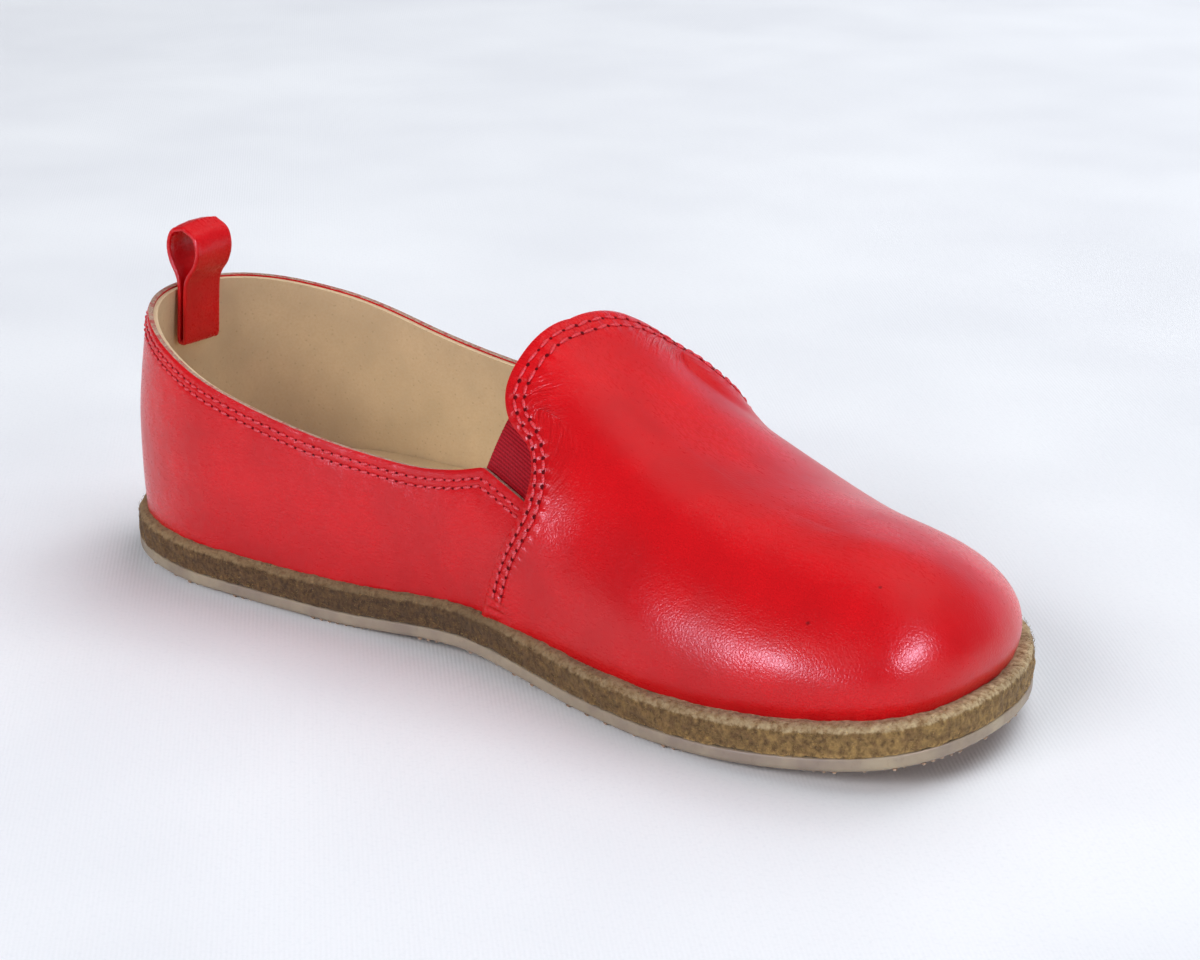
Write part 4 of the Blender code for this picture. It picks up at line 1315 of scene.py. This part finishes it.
def gore_sheet(side):
    """Grid of the elastic's face: ribs run along the quarter's edge."""
    corners = find(GORE, side)
    low_back, low_front, high_front, high_back = corners
    across = np.linspace(0.0, 1.0, GORE_COLUMNS)[None, :, None]
    width = np.linalg.norm(np.subtract(GORE[3], GORE[0]))
    ribs = int(round(width / sizes().rib_pitch * MM))
    upward = np.linspace(0.0, 1.0, ribs * RIB_STEPS + 1)[:, None, None]
    low = low_back + (low_front - low_back) * across
    high = high_back + (high_front - high_back) * across
    places = low + (high - low) * upward
    rib = 0.5 - 0.5 * np.cos(2.0 * math.pi * ribs * upward[..., 0]) + 0.0 * across[..., 0]
    pick = 2.0 * math.pi * across[..., 0] * PICKS + math.pi * np.floor(ribs * upward[..., 0])
    return places, rib, pick


def build_gores():
    """Elastic on both sides, let into the notch from behind."""
    made = []
    for name, side in (("gore_inner_side", -1), ("gore_outer_side", 1)):
        places, rib, pick = gore_sheet(side)
        depth = 2.22 * MM - 0.10 * MM * rib ** 0.6
        face = on_last(places[..., 0], places[..., 1], depth)
        back = on_last(places[..., 0], places[..., 1], 2.05 * MM + sizes().elastic_thickness)
        shape = walled(sheets([face, back], [("rib", (rib, rib)), ("pick", (pick, pick))]))
        node = "gore_inner" if side < 0 else "gore_outer"
        made.append(piece(name, shape, [looks("ribbed_elastic")], (node,), sharp=60))
    return made


THREAD_LIFT = 0.12 * MM      # thread's middle over the leather
HOLE_LIFT = 0.05 * MM        # hole's middle over the leather
HOLE_SCATTER = 0.03 * MM     # unevenness of the holes' places
HOLE_SIZE = (0.44 * MM, 0.38 * MM, 0.15 * MM)   # half its length, width and depth


def stitch_line(turn, row, depth, passed):
    """Middles of the stitches on a line, their frames (along, sideways, outward) and their lengths."""
    fine = np.linspace(0.0, len(turn) - 1.0, 12 * len(turn))
    index = np.arange(len(turn))
    turn = np.interp(fine, index, turn)
    row = np.interp(fine, index, row)
    depth = np.interp(fine, index, np.broadcast_to(depth, index.shape))
    passed = np.interp(fine, index, passed)
    points = on_last(turn, row, depth)
    length = run(points)
    even = np.interp(np.arange(math.ceil(passed[0]), math.floor(passed[-1])) + 0.5, passed, length)
    pitch = np.gradient(length) / np.gradient(passed)
    place = np.column_stack([np.interp(even, length, points[:, k]) for k in range(3)])
    tangent = np.gradient(points, axis=0)
    along = unit(np.column_stack([np.interp(even, length, tangent[:, k]) for k in range(3)]))
    normal = normal_at(np.interp(even, length, turn), np.interp(even, length, row))
    up = unit(normal - along * (normal * along).sum(axis=1, keepdims=True))
    side = np.cross(up, along)
    return place, np.stack([along, side, up], axis=2), np.interp(even, length, pitch)


def stitch_lines():
    """All the rows of stitching: two round the vamp's edge and two along the quarter's."""
    lines = []
    for row_mm in STITCH_ROWS:
        halves = []
        phases = []
        for side in (-1, 1):
            grid, spans, length = vamp_places(side)
            phases.append(side * stitch_phase(length))
            rise = lap(spans, length, side)
            wanted = stitch_span(row_mm, length)
            line = np.array([[np.interp(at, across, row[:, c]) for c in range(2)]
                             for at, across, row in zip(wanted, spans, grid)])
            depth = -np.array([np.interp(at, across, up) for at, across, up in zip(wanted, spans, rise)])
            if side > 0:
                line = np.column_stack([(-line[:, 0]) % (2 * SIDE), 2 * TOP - line[:, 1]])
            halves.append((line, depth))
        line = np.vstack([halves[0][0], halves[1][0][-2::-1]])
        depth = np.concatenate([halves[0][1], halves[1][1][-2::-1]])
        passed = np.concatenate([phases[0], phases[1][-2::-1]])
        lines.append((line[4:-4, 0], line[4:-4, 1], depth[4:-4], passed[4:-4]))
    turns = quarter_turns(LINING_LAP)
    top = row_under(turns, top_line)
    for row_mm in QUARTER_STITCHES:
        rows = []
        for turn, highest in zip(turns, top):
            down = np.linspace(highest, highest - 16.0, 40)
            rows.append(np.interp(row_mm * MM, run(on_last(turn, down)), down))
        rows = np.array(rows)
        open_part = seam_reach(on_last(turns, rows)) < 0.3 * MM
        passed = run(on_last(turns, rows)) / sizes().stitch_pitch
        lines.append((turns[open_part], rows[open_part], np.full(open_part.sum(), 0.1 * MM),
                      passed[open_part]))
    return lines


def build_stitching():
    """Threads of every row, and the needle holes between them."""
    places, frames, joints, joint_frames = [], [], [], []
    rng = np.random.default_rng(7)
    for index, line in enumerate(stitch_lines()):
        open_hole = 1.0 if index < len(STITCH_ROWS) else 0.6
        place, frame_3d, pitch = stitch_line(*line)
        slant = rng.normal(0.0, 0.10, len(place)) + 0.10
        along = frame_3d[:, :, 0] * np.cos(slant)[:, None] + frame_3d[:, :, 1] * np.sin(slant)[:, None]
        side = np.cross(frame_3d[:, :, 2], along)
        size = (rng.uniform(0.92, 1.06, len(place)) * pitch / sizes().stitch_pitch)[:, None]
        places.append(place + frame_3d[:, :, 2] * THREAD_LIFT)
        frames.append(np.stack([along * size, side, frame_3d[:, :, 2]], axis=2))
        middle = 0.5 * (place[1:] + place[:-1])
        lifted = middle + HOLE_LIFT * frame_3d[:-1, :, 2]
        joints.append(lifted + rng.normal(0.0, HOLE_SCATTER, middle.shape))
        wide = open_hole * rng.uniform(0.75, 1.1, len(middle))
        joint_frames.append(frame_3d[:-1] * wide[:, None, None])
    thread = bmesh.new()
    bmesh.ops.create_uvsphere(thread, u_segments=8, v_segments=7, radius=1.0)
    bmesh.ops.rotate(thread, verts=thread.verts, matrix=Matrix.Rotation(math.pi / 2.0, 3, "Y"))
    half = 0.5 * sizes().thread_width
    bmesh.ops.scale(thread, verts=thread.verts, vec=(0.38 * sizes().stitch_pitch, half, 0.85 * half))
    threads = copies("stitch_threads", thread, np.concatenate(frames), np.concatenate(places),
                     [looks("bonded_thread")])
    # The needle holes are painted shade: dark flattened lumps set just over the leather.
    hole = bmesh.new()
    bmesh.ops.create_uvsphere(hole, u_segments=8, v_segments=5, radius=1.0)
    bmesh.ops.scale(hole, verts=hole.verts, vec=HOLE_SIZE)
    holes = copies("needle_holes", hole, np.concatenate(joint_frames), np.concatenate(joints),
                   [looks("needle_hole")])
    return threads, holes


# ---- sole ------------------------------------------------------------------------------------
SOLE_COLUMNS = 760           # points round the sole
FIBRES = 7000
FIBRE_RADIUS = 0.045 * MM    # at a fibre's thick end
TREAD_TURN = math.radians(9.75)   # turn of the tread's rows against the shoe's length
TREAD_REACH = 140            # dots counted each way from the middle, more than the sole needs
TREAD_MARGIN = 0.55 * MM     # bare border round the tread


def sole_turns():
    """Stations spaced evenly round the sole's outline."""
    turns = np.arange(0, 2 * SIDE + 1, 0.5)
    edge = outline(turns)
    length = run(edge)
    return np.interp(np.linspace(0.0, length[-1], SOLE_COLUMNS + 1), length, turns)


def sole_row(turns, inset, towards, height):
    """Row of a sole piece: outline inset, share of the way to the spine, height over the lifted ground."""
    edge = outline(turns, inset)
    flat = edge + (spine(turns, column(SOLE, 1)) - edge) * towards
    return np.column_stack([flat, height + lift(flat[:, 0])])


def slab(turns, low, high, low_round, high_round, sides=7, ledge=(), inset=0.0):
    """Rows from the spine underneath, round the rounded edge, over the ledge, to the spine on top."""
    rows = [sole_row(turns, inset + 3.0 * MM, share, low) for share in (1.0, 0.6, 0.3, 0.1, 0.0)]
    rows.append(sole_row(turns, inset + low_round + 0.8 * MM, 0.0, low))
    for angle in np.linspace(-0.5 * math.pi, 0.0, 5):
        away = low_round * (1.0 - math.cos(angle))
        rows.append(sole_row(turns, inset + away, 0.0, low + low_round * (1.0 + math.sin(angle))))
    for share in np.linspace(0.0, 1.0, sides)[1:-1]:
        straight = high - low - low_round - high_round
        rows.append(sole_row(turns, inset, 0.0, low + low_round + straight * share))
    for angle in np.linspace(0.0, 0.5 * math.pi, 7):
        away = high_round * (1.0 - math.cos(angle))
        rows.append(sole_row(turns, inset + away, 0.0, high - high_round * (1.0 - math.sin(angle))))
    for step in ledge:
        rows.append(sole_row(turns, inset + high_round + step * MM, 0.0, high))
    last = inset + high_round + (ledge[-1] * MM if ledge else 0.0)
    rows.extend(sole_row(turns, last, share, high) for share in (0.15, 0.4, 0.7, 1.0))
    return np.array(rows)


def roughened(points, amount, size, seed):
    """Moves points in and out by noise with grains of a size in mm."""
    along = np.gradient(points, axis=1)
    around = np.gradient(points, axis=0)
    normal = unit(np.cross(along, around))
    flat = points.reshape(-1, 3) * (1000.0 / size)
    moves = [noise.noise(Vector(p) + Vector((seed, 0.0, 0.0)), noise_basis="PERLIN_ORIGINAL") for p in flat]
    return points + normal * (np.reshape(moves, points.shape[:2]) * amount * MM)[..., None]


def build_midsole():
    """Split leather board with its rounded, sanded ledge."""
    turns = sole_turns()
    low = OUTSOLE_THICK - 0.28 * MM
    high = OUTSOLE_THICK + MIDSOLE_THICK
    grid = slab(turns, low, high, 0.5 * MM, sizes().ledge_rounding, 9,
                ledge=(0.5, 1.0, 1.5, 2.0, 2.6, 3.4, 4.4))
    rough = roughened(grid, 0.26, 2.3, 3.0) - grid
    rough += roughened(grid, 0.16, 0.9, 11.0) - grid
    rows = np.arange(len(grid))
    open_rows = ((rows >= 6) & (rows < len(grid) - 5))[:, None, None]
    grid = grid + rough * open_rows
    grid[:, -1] = grid[:, 0]
    height = (grid[..., 2] - lift(grid[..., 0]) - low) / (high - low)
    inward = np.linalg.norm(grid[..., :2] - outline(turns)[None], axis=-1)
    ledge = smoothstep((height - 0.70) / 0.20) * (1.0 - 0.35 * smoothstep((inward - 2.2 * MM) / (1.6 * MM)))
    foot = 1.0 - smoothstep(height / 0.16)
    share = grid[..., 0] / LENGTH
    # The golden foot grows towards the toe: partly the fibres' colour, partly painted light on the toe.
    foot *= 0.35 + 0.65 * smoothstep((share - 0.55) / 0.3)
    # Painted shade under the lifted arch, less on the ledge's top.
    waist = bell(share - 0.42, 0.22) * (1.0 - 0.4 * smoothstep((height - 0.8) / 0.2))
    shape = sheets([grid], [("ledge", (ledge,)), ("foot", (foot,)), ("waist", (waist,))])
    return piece("midsole_board", shape, [looks("split_leather")], ("midsole",))


def build_fibres():
    """Loose fibres standing off the sanded edge."""
    rng = np.random.default_rng(21)
    turns = rng.uniform(0.0, 2.0 * SIDE, 3 * FIBRES)
    step = np.linalg.norm(outline(turns + 0.5) - outline(turns - 0.5), axis=1)
    keep = rng.uniform(0.0, 1.0, len(turns)) < step / step.max()
    turns = turns[keep][:FIBRES]
    count = len(turns)
    high = OUTSOLE_THICK + MIDSOLE_THICK
    on_ledge = rng.uniform(size=count) < 0.30
    height = np.where(on_ledge, high, OUTSOLE_THICK + MIDSOLE_THICK * rng.beta(0.9, 1.2, count) * 0.92)
    inset = np.where(on_ledge, rng.uniform(0.5, 2.6, count) * MM, 0.0)
    edge = outline(turns, inset)
    place = np.column_stack([edge, height + lift(edge[:, 0])])
    outward = np.column_stack([unit(outline(turns) - outline(turns, MM)), np.zeros(count)])
    upward = np.tile((0.0, 0.0, 1.0), (count, 1))
    face = np.where(on_ledge[:, None], upward, outward)
    tangent = np.cross(upward, outward)
    other = np.cross(face, tangent)
    turn_by = rng.uniform(0.0, math.pi, count)[:, None]
    lean = rng.uniform(0.05, 0.45, count)[:, None]
    along = unit((tangent * np.cos(turn_by) + other * np.sin(turn_by)) * (1.0 - lean) + face * lean)
    side = unit(np.cross(face, along))
    up = np.cross(along, side)
    length = rng.uniform(0.35, 1.0, count)[:, None]
    frames = np.stack([along * length, side, up], axis=2)
    sliver = bmesh.new()
    bmesh.ops.create_cone(sliver, cap_ends=True, segments=3, radius1=FIBRE_RADIUS, radius2=0.0, depth=MM)
    bmesh.ops.rotate(sliver, verts=sliver.verts, matrix=Matrix.Rotation(math.pi / 2.0, 3, "Y"))
    shade = np.clip(rng.normal(0.42, 0.28, count) + 0.25 * (height < OUTSOLE_THICK + MM), 0.0, 1.0)
    return copies("midsole_fibres", sliver, frames, place + face * 0.02 * MM,
                  [looks("loose_fibre")], {"shade": shade})


def build_outsole():
    """Rubber sole: plate with a softly rounded wall, and its field of raised dots."""
    turns = sole_turns()
    grid = slab(turns, sizes().dot_height, OUTSOLE_THICK - 0.25 * MM, 0.75 * MM, 0.35 * MM, 5)
    grid = grid + (roughened(grid, 0.10, 9.0, 5.0) - grid) * 0.5
    grid[:, -1] = grid[:, 0]
    rows = np.arange(len(grid))[:, None]
    under = np.broadcast_to((rows < 7).astype(float), grid.shape[:2])
    inward = np.linalg.norm(grid[..., :2] - outline(turns)[None], axis=-1)
    glow = bell(inward - 11.0 * MM, 5.0 * MM) * under
    shape = sheets([grid], [("under", (under,)), ("glow", (glow,))])
    plate = piece("outsole_plate", shape, [looks("crepe_rubber")], ("outsole",))
    return plate, build_dots()


def build_dots():
    """Blunt cones of the tread in a three-way lattice."""
    pitch = sizes().dot_pitch
    first, second = (np.array([math.cos(angle), math.sin(angle)]) * pitch
                     for angle in (TREAD_TURN, TREAD_TURN + math.pi / 3.0))
    reach = np.arange(-TREAD_REACH, TREAD_REACH + 1)
    a, b = np.meshgrid(reach, reach)
    spots = a.reshape(-1, 1) * first + b.reshape(-1, 1) * second + np.array([LENGTH / 2.0, 0.0])
    turns = sole_turns()
    edge = outline(turns, TREAD_MARGIN)
    spots = spots[(spots[:, 0] > 0.0) & (spots[:, 0] < LENGTH)]
    crossings = np.zeros(len(spots), int)
    for p, q in zip(edge[:-1], edge[1:]):
        straddles = (p[1] > spots[:, 1]) != (q[1] > spots[:, 1])
        if straddles.any():
            at = p[0] + (spots[straddles, 1] - p[1]) / (q[1] - p[1]) * (q[0] - p[0])
            crossings[straddles] += spots[straddles, 0] < at
    spots = spots[crossings % 2 == 1]
    ground = lift(spots[:, 0])
    step = 0.1 * MM
    slope = (lift(spots[:, 0] + step) - lift(spots[:, 0] - step)) / (2.0 * step)
    place = np.column_stack([spots, ground + sizes().dot_height + 0.02 * MM])
    down = unit(np.column_stack([slope, np.zeros(len(spots)), -np.ones(len(spots))]))
    along = unit(np.column_stack([np.ones(len(spots)), np.zeros(len(spots)), slope]))
    frames = np.stack([along, np.cross(down, along), down], axis=2)
    rng = np.random.default_rng(3)
    wear = bell(place[:, 0] / LENGTH - 0.72, 0.2) + bell(place[:, 0] / LENGTH - 0.1, 0.12)
    scuff = np.clip(rng.uniform(0.35, 1.0, len(place)) * (0.75 + 0.35 * wear), 0.0, 1.0)
    dot = bmesh.new()
    tall = sizes().dot_height
    bmesh.ops.create_cone(dot, cap_ends=True, segments=7, radius1=0.50 * MM, radius2=0.17 * MM, depth=tall)
    bmesh.ops.translate(dot, verts=dot.verts, vec=(0.0, 0.0, 0.5 * tall))
    return copies("tread_dots", dot, frames, place, [looks("worn_tips")], {"scuff": scuff})


def build_insole():
    """Leather sock: a thin board, a little crowned, with eased edges."""
    turns = sole_turns()[::2]
    low = OUTSOLE_THICK + MIDSOLE_THICK + 0.02 * MM
    high = OUTSOLE_THICK + MIDSOLE_THICK + GAP + INSOLE_THICK
    inset = welt(turns) + WALL + 0.12 * MM
    grid = slab(turns, low, high, 0.2 * MM, 0.45 * MM, 4, (1.0, 2.5, 5.0, 8.0), inset=inset)
    top = (np.arange(len(grid)) > len(grid) - 10)[:, None]
    inward = np.linalg.norm(grid[..., :2] - outline(turns)[None], axis=-1)
    share = grid[..., 0] / LENGTH
    cup = 0.35 * MM * (1.0 - smoothstep((inward - 4.0 * MM) / (9.0 * MM)))
    pressed = bell(share - 0.12, 0.10) + 0.8 * bell(share - 0.70, 0.12)
    prints = 0.35 * MM * pressed * smoothstep(inward / (14.0 * MM))
    grid[..., 2] += np.where(top, cup - prints, 0.0)
    grid[:, -1] = grid[:, 0]
    made = piece("insole_sock", sheets([grid]), [looks("lining_hide")], ("insole",))
    return refined(made)


def build_pull_loop():
    """Folded strip at the heel, standing in a loop over the collar."""
    rise = smooth_path([(-width, height) for height, width in LOOP], 10)
    fall = rise[-2:0:-1] * np.array([-1.0, 1.0])
    path = np.vstack([rise, fall, rise[:1]]) * MM
    ring = np.vstack([path[-2:-1], path, path[1:2]])
    tangent = unit(ring[2:] - ring[:-2])
    out = np.column_stack([-tangent[:, 1], tangent[:, 0]])
    half = 0.5 * sizes().loop_thickness
    angles = np.linspace(0.0, 2.0 * math.pi, 29)
    width = 0.5 * sizes().loop_width
    section_y = np.sign(np.cos(angles)) * np.abs(np.cos(angles)) ** 0.35 * width
    section_n = np.sign(np.sin(angles)) * np.abs(np.sin(angles)) ** 0.55 * half
    section_n = section_n * (1.0 - 0.22 * bell(np.abs(section_y) - width + 1.2 * MM, 0.5 * MM))
    foot = (COLLAR[1][1] - LOOP_STEM) * MM
    rows = np.linspace(0.0, TOP, 400)
    wall = on_last(np.zeros(400), rows, WALL)
    wall_x = float(np.interp(foot, wall[:, 2], wall[:, 0]))
    wall_y = float(wall[0, 1])
    x = path[:, None, 0] + section_n[None] * out[:, None, 0]
    z = path[:, None, 1] + section_n[None] * out[:, None, 1]
    y = np.broadcast_to(section_y, x.shape)
    z = z + 0.25 * MM * np.sin(y / width * 2.0 + 0.6) * smoothstep((z - 14.0 * MM) / (6.0 * MM))
    tilted_x = x * math.cos(LOOP_TILT) + z * math.sin(LOOP_TILT)
    tilted_z = z * math.cos(LOOP_TILT) - x * math.sin(LOOP_TILT)
    along_x = wall_x + LOOP_STANDOFF + tilted_x + y * y / LOOP_BOW
    points = np.stack([along_x, wall_y + y, foot + tilted_z], axis=-1)
    return piece("pull_strip", sheets([points]), [looks("calf_red")], ("pull_loop",))


# ---- stage -----------------------------------------------------------------------------------
# Camera's places in metres, its lens and sensor in mm; colour and strength of the light all round.
EYE = (0.2829, -0.3456, 0.1839)
TARGET = (0.004, 0.0, 0.0245)
LENS, SENSOR = 80.0, 36.0
SKY, SKY_STRENGTH = (0.90, 0.94, 1.0, 1.0), 0.14


def add_camera():
    """Camera at the shoe's three-quarter view from the front and the inner side, a little above."""
    data = bpy.data.cameras.new("camera")
    data.lens = LENS
    data.sensor_width = SENSOR
    data.clip_start = 0.01
    camera = bpy.data.objects.new("camera", data)
    bpy.context.scene.collection.objects.link(camera)
    camera.location = EYE
    camera.rotation_euler = (Vector(TARGET) - Vector(EYE)).to_track_quat("-Z", "Y").to_euler()
    bpy.context.scene.camera = camera


def add_softbox(name, azimuth, elevation, distance, width, height, power, tint, mirrored=True, roll=0.0):
    """Area light aimed at the shoe from a direction, in degrees; azimuth 0 is the inner side.

    A mirrored one only shows as a gleam, the others only light up.
    """
    data = bpy.data.lights.new(name, "AREA")
    data.shape = "RECTANGLE"
    data.size = width
    data.size_y = height
    data.energy = power
    data.color = tint
    lamp = bpy.data.objects.new(name, data)
    turn, rise = math.radians(azimuth), math.radians(elevation)
    towards = (math.sin(turn) * math.cos(rise), -math.cos(turn) * math.cos(rise), math.sin(rise))
    lamp.location = Vector(towards) * distance
    turned = Quaternion((0.0, 0.0, 1.0), math.radians(roll))
    lamp.rotation_euler = ((-lamp.location).to_track_quat("-Z", "Y") @ turned).to_euler()
    lamp.visible_camera = False
    lamp.visible_glossy = mirrored
    lamp.visible_diffuse = not mirrored
    bpy.context.scene.collection.objects.link(lamp)


def add_floor():
    """Cloth that the shoe stands on."""
    shape = bmesh.new()
    bmesh.ops.create_grid(shape, x_segments=8, y_segments=8, size=4.0)
    mesh = bpy.data.meshes.new("floor")
    shape.to_mesh(mesh)
    shape.free()
    mesh.materials.append(looks("backdrop_cloth"))
    floor = bpy.data.objects.new("floor", mesh)
    bpy.context.scene.collection.objects.link(floor)


def add_world():
    """Faint even light from all round."""
    world = bpy.data.worlds.new("studio")
    world.use_nodes = True
    background = world.node_tree.nodes["Background"]
    background.inputs["Color"].default_value = SKY
    background.inputs["Strength"].default_value = SKY_STRENGTH
    bpy.context.scene.world = world


def set_stage():
    """Floor, studio light and camera."""
    add_floor()
    add_world()
    add_softbox("gleam_left", -8.0, 11.0, 1.3, 0.09, 0.46, 13.0, (0.90, 0.78, 1.0), roll=31.0)
    add_softbox("gleam_right", 74.0, 33.0, 1.4, 0.82, 0.10, 23.0, (0.90, 0.76, 1.0), roll=27.0)
    add_softbox("gleam_behind", 188.0, 9.0, 1.6, 2.2, 0.52, 1.8, (0.76, 0.72, 1.0))
    add_softbox("key", -5.0, 32.0, 1.5, 0.9, 0.6, 13.8, (1.0, 0.99, 0.98), mirrored=False)
    add_softbox("overhead", 150.0, 64.0, 1.7, 1.5, 1.2, 16.3, (0.98, 1.0, 1.0), mirrored=False)
    add_softbox("fill", 88.0, 10.0, 1.6, 1.2, 0.5, 9.6, (1.0, 1.0, 0.98), mirrored=False)
    add_softbox("ceiling", 190.0, 42.0, 2.4, 2.0, 1.4, 25.0, (0.98, 1.0, 1.0), mirrored=False)
    add_camera()
    bpy.context.scene.view_settings.view_transform = "Standard"
    bpy.context.scene.view_settings.look = "None"


# ---- the maker's sizes and colours -----------------------------------------------------------
MAKERS = {
    "calf_red": (calf_red, ("upper",)),
    "cut_edge": (cut_edge, ()),
    "bonded_thread": (bonded_thread, ("thread",)),
    "needle_hole": (needle_hole, ()),
    "ribbed_elastic": (ribbed_elastic, ("elastic",)),
    "split_leather": (split_leather, ("ledge", "midsole")),
    "loose_fibre": (loose_fibre, ()),
    "crepe_rubber": (crepe_rubber, ("rubber", "tread")),
    "worn_tips": (worn_tips, ("tread",)),
    "lining_hide": (lining_hide, ("lining",)),
    "backdrop_cloth": (backdrop_cloth, ()),
}
MADE = {}


def sizes():
    """The sizes set in the panel."""
    return bpy.context.scene.shoe_sizes


def looks(name):
    """The material of that name, made the first time it is asked for."""
    if name not in MADE:
        maker, tints = MAKERS[name]
        MADE[name] = maker(*(tuple(getattr(bpy.context.scene.shoe_colours, tint)) for tint in tints))
    return MADE[name]


def measure(name, description, millimetres):
    """A length that the panel shows."""
    return bpy.props.FloatProperty(name=name, description=description, default=millimetres * MM,
                                   min=0.01 * MM, precision=5, unit="LENGTH", subtype="DISTANCE")


def tint(name, description, code):
    """A colour that the panel shows."""
    return bpy.props.FloatVectorProperty(name=name, description=description, default=linear(code),
                                         min=0.0, max=1.0, size=3, subtype="COLOR")


class ShoeSizes(bpy.types.PropertyGroup):
    """Thicknesses and pitches of the shoe's pieces."""

    vamp_leather: measure("Vamp leather", "Thickness of the vamp's leather", 1.1)
    quarter_leather: measure("Quarter leather", "Thickness of the quarter's leather", 1.1)
    elastic_thickness: measure("Elastic", "Thickness of the gores' elastic", 1.1)
    rib_pitch: measure("Rib pitch", "Distance between the elastic's ribs", 0.52)
    stitch_pitch: measure("Stitch pitch", "Length of one stitch down the seam and on the quarter", 2.0)
    tongue_pitch: measure("Tongue stitch pitch", "Length of one stitch over the tongue", 3.65)
    thread_width: measure("Thread", "Width of the sewing thread", 0.62)
    ledge_rounding: measure("Ledge rounding", "Radius of the midsole's sanded upper edge", 1.7)
    dot_pitch: measure("Dot pitch", "Distance between neighbouring dots of the tread", 1.745)
    dot_height: measure("Dot height", "Height of the tread's dots", 0.36)
    loop_width: measure("Loop width", "Width of the pull strip", 9.0)
    loop_thickness: measure("Loop thickness", "Thickness of the pull strip", 1.2)


class ShoeColours(bpy.types.PropertyGroup):
    """Colours of the shoe's materials."""

    upper: tint("Upper", "Red of the calf leather", "#CC0C15")
    thread: tint("Thread", "Red of the sewing thread", "#D7303A")
    elastic: tint("Elastic", "Dark red of the gores", "#A80C1B")
    ledge: tint("Ledge", "Tan of the midsole's rounded upper edge", "#927753")
    midsole: tint("Midsole", "Brown of the midsole's side", "#745636")
    rubber: tint("Rubber", "Grey-beige of the outsole's wall", "#A5967F")
    tread: tint("Tread", "Taupe of the outsole's underside", "#A88A70")
    lining: tint("Lining", "Natural tan of the lining", "#DCC4A0")


# ---- operators -------------------------------------------------------------------------------
class SHOE_OT_vamp(bpy.types.Operator):
    """Build the vamp with its tongue"""

    bl_idname = "shoe.vamp"
    bl_label = "Vamp"

    def execute(self, context):
        build_vamp()
        return {"FINISHED"}


class SHOE_OT_quarter(bpy.types.Operator):
    """Build the quarter round the heel"""

    bl_idname = "shoe.quarter"
    bl_label = "Quarter"

    def execute(self, context):
        build_quarter()
        return {"FINISHED"}


class SHOE_OT_linings(bpy.types.Operator):
    """Build the linings of vamp and quarter"""

    bl_idname = "shoe.linings"
    bl_label = "Linings"

    def execute(self, context):
        build_linings()
        return {"FINISHED"}


class SHOE_OT_gores(bpy.types.Operator):
    """Build the elastic on both sides"""

    bl_idname = "shoe.gores"
    bl_label = "Gores"

    def execute(self, context):
        build_gores()
        return {"FINISHED"}


class SHOE_OT_stitching(bpy.types.Operator):
    """Sew the rows of stitches with their needle holes"""

    bl_idname = "shoe.stitching"
    bl_label = "Stitching"

    def execute(self, context):
        build_stitching()
        return {"FINISHED"}


class SHOE_OT_midsole(bpy.types.Operator):
    """Build the leather midsole and its loose fibres"""

    bl_idname = "shoe.midsole"
    bl_label = "Midsole"

    def execute(self, context):
        build_midsole()
        build_fibres()
        return {"FINISHED"}


class SHOE_OT_outsole(bpy.types.Operator):
    """Build the rubber outsole and its dots"""

    bl_idname = "shoe.outsole"
    bl_label = "Outsole"

    def execute(self, context):
        build_outsole()
        return {"FINISHED"}


class SHOE_OT_insole(bpy.types.Operator):
    """Build the insole"""

    bl_idname = "shoe.insole"
    bl_label = "Insole"

    def execute(self, context):
        build_insole()
        return {"FINISHED"}


class SHOE_OT_pull_loop(bpy.types.Operator):
    """Build the pull strip at the heel"""

    bl_idname = "shoe.pull_loop"
    bl_label = "Pull loop"

    def execute(self, context):
        build_pull_loop()
        return {"FINISHED"}


class SHOE_OT_stage(bpy.types.Operator):
    """Set the floor, the light and the camera"""

    bl_idname = "shoe.stage"
    bl_label = "Stage"

    def execute(self, context):
        set_stage()
        return {"FINISHED"}


OPERATORS = (
    SHOE_OT_stage,
    SHOE_OT_outsole,
    SHOE_OT_midsole,
    SHOE_OT_insole,
    SHOE_OT_quarter,
    SHOE_OT_vamp,
    SHOE_OT_linings,
    SHOE_OT_gores,
    SHOE_OT_stitching,
    SHOE_OT_pull_loop,
)


class SHOE_PT_panel(bpy.types.Panel):
    """Sizes, colours and pieces of the shoe"""

    bl_idname = "SHOE_PT_panel"
    bl_label = "Slip-on shoe"
    bl_space_type = "VIEW_3D"
    bl_region_type = "UI"
    bl_category = "Shoe"

    def draw(self, context):
        for group in (context.scene.shoe_sizes, context.scene.shoe_colours):
            column_ui = self.layout.column(align=True)
            for name in group.__annotations__:
                column_ui.prop(group, name)
        buttons = self.layout.column(align=True)
        for operator in OPERATORS:
            buttons.operator(operator.bl_idname)


CLASSES = (ShoeSizes, ShoeColours) + OPERATORS + (SHOE_PT_panel,)


def register():
    for cls in CLASSES:
        bpy.utils.register_class(cls)
    bpy.types.Scene.shoe_sizes = bpy.props.PointerProperty(type=ShoeSizes)
    bpy.types.Scene.shoe_colours = bpy.props.PointerProperty(type=ShoeColours)


def unregister():
    del bpy.types.Scene.shoe_colours
    del bpy.types.Scene.shoe_sizes
    for cls in reversed(CLASSES):
        bpy.utils.unregister_class(cls)


def main():
    register()
    for operator in OPERATORS:
        group, name = operator.bl_idname.split(".")
        getattr(getattr(bpy.ops, group), name)()


if __name__ == "__main__":
    main()
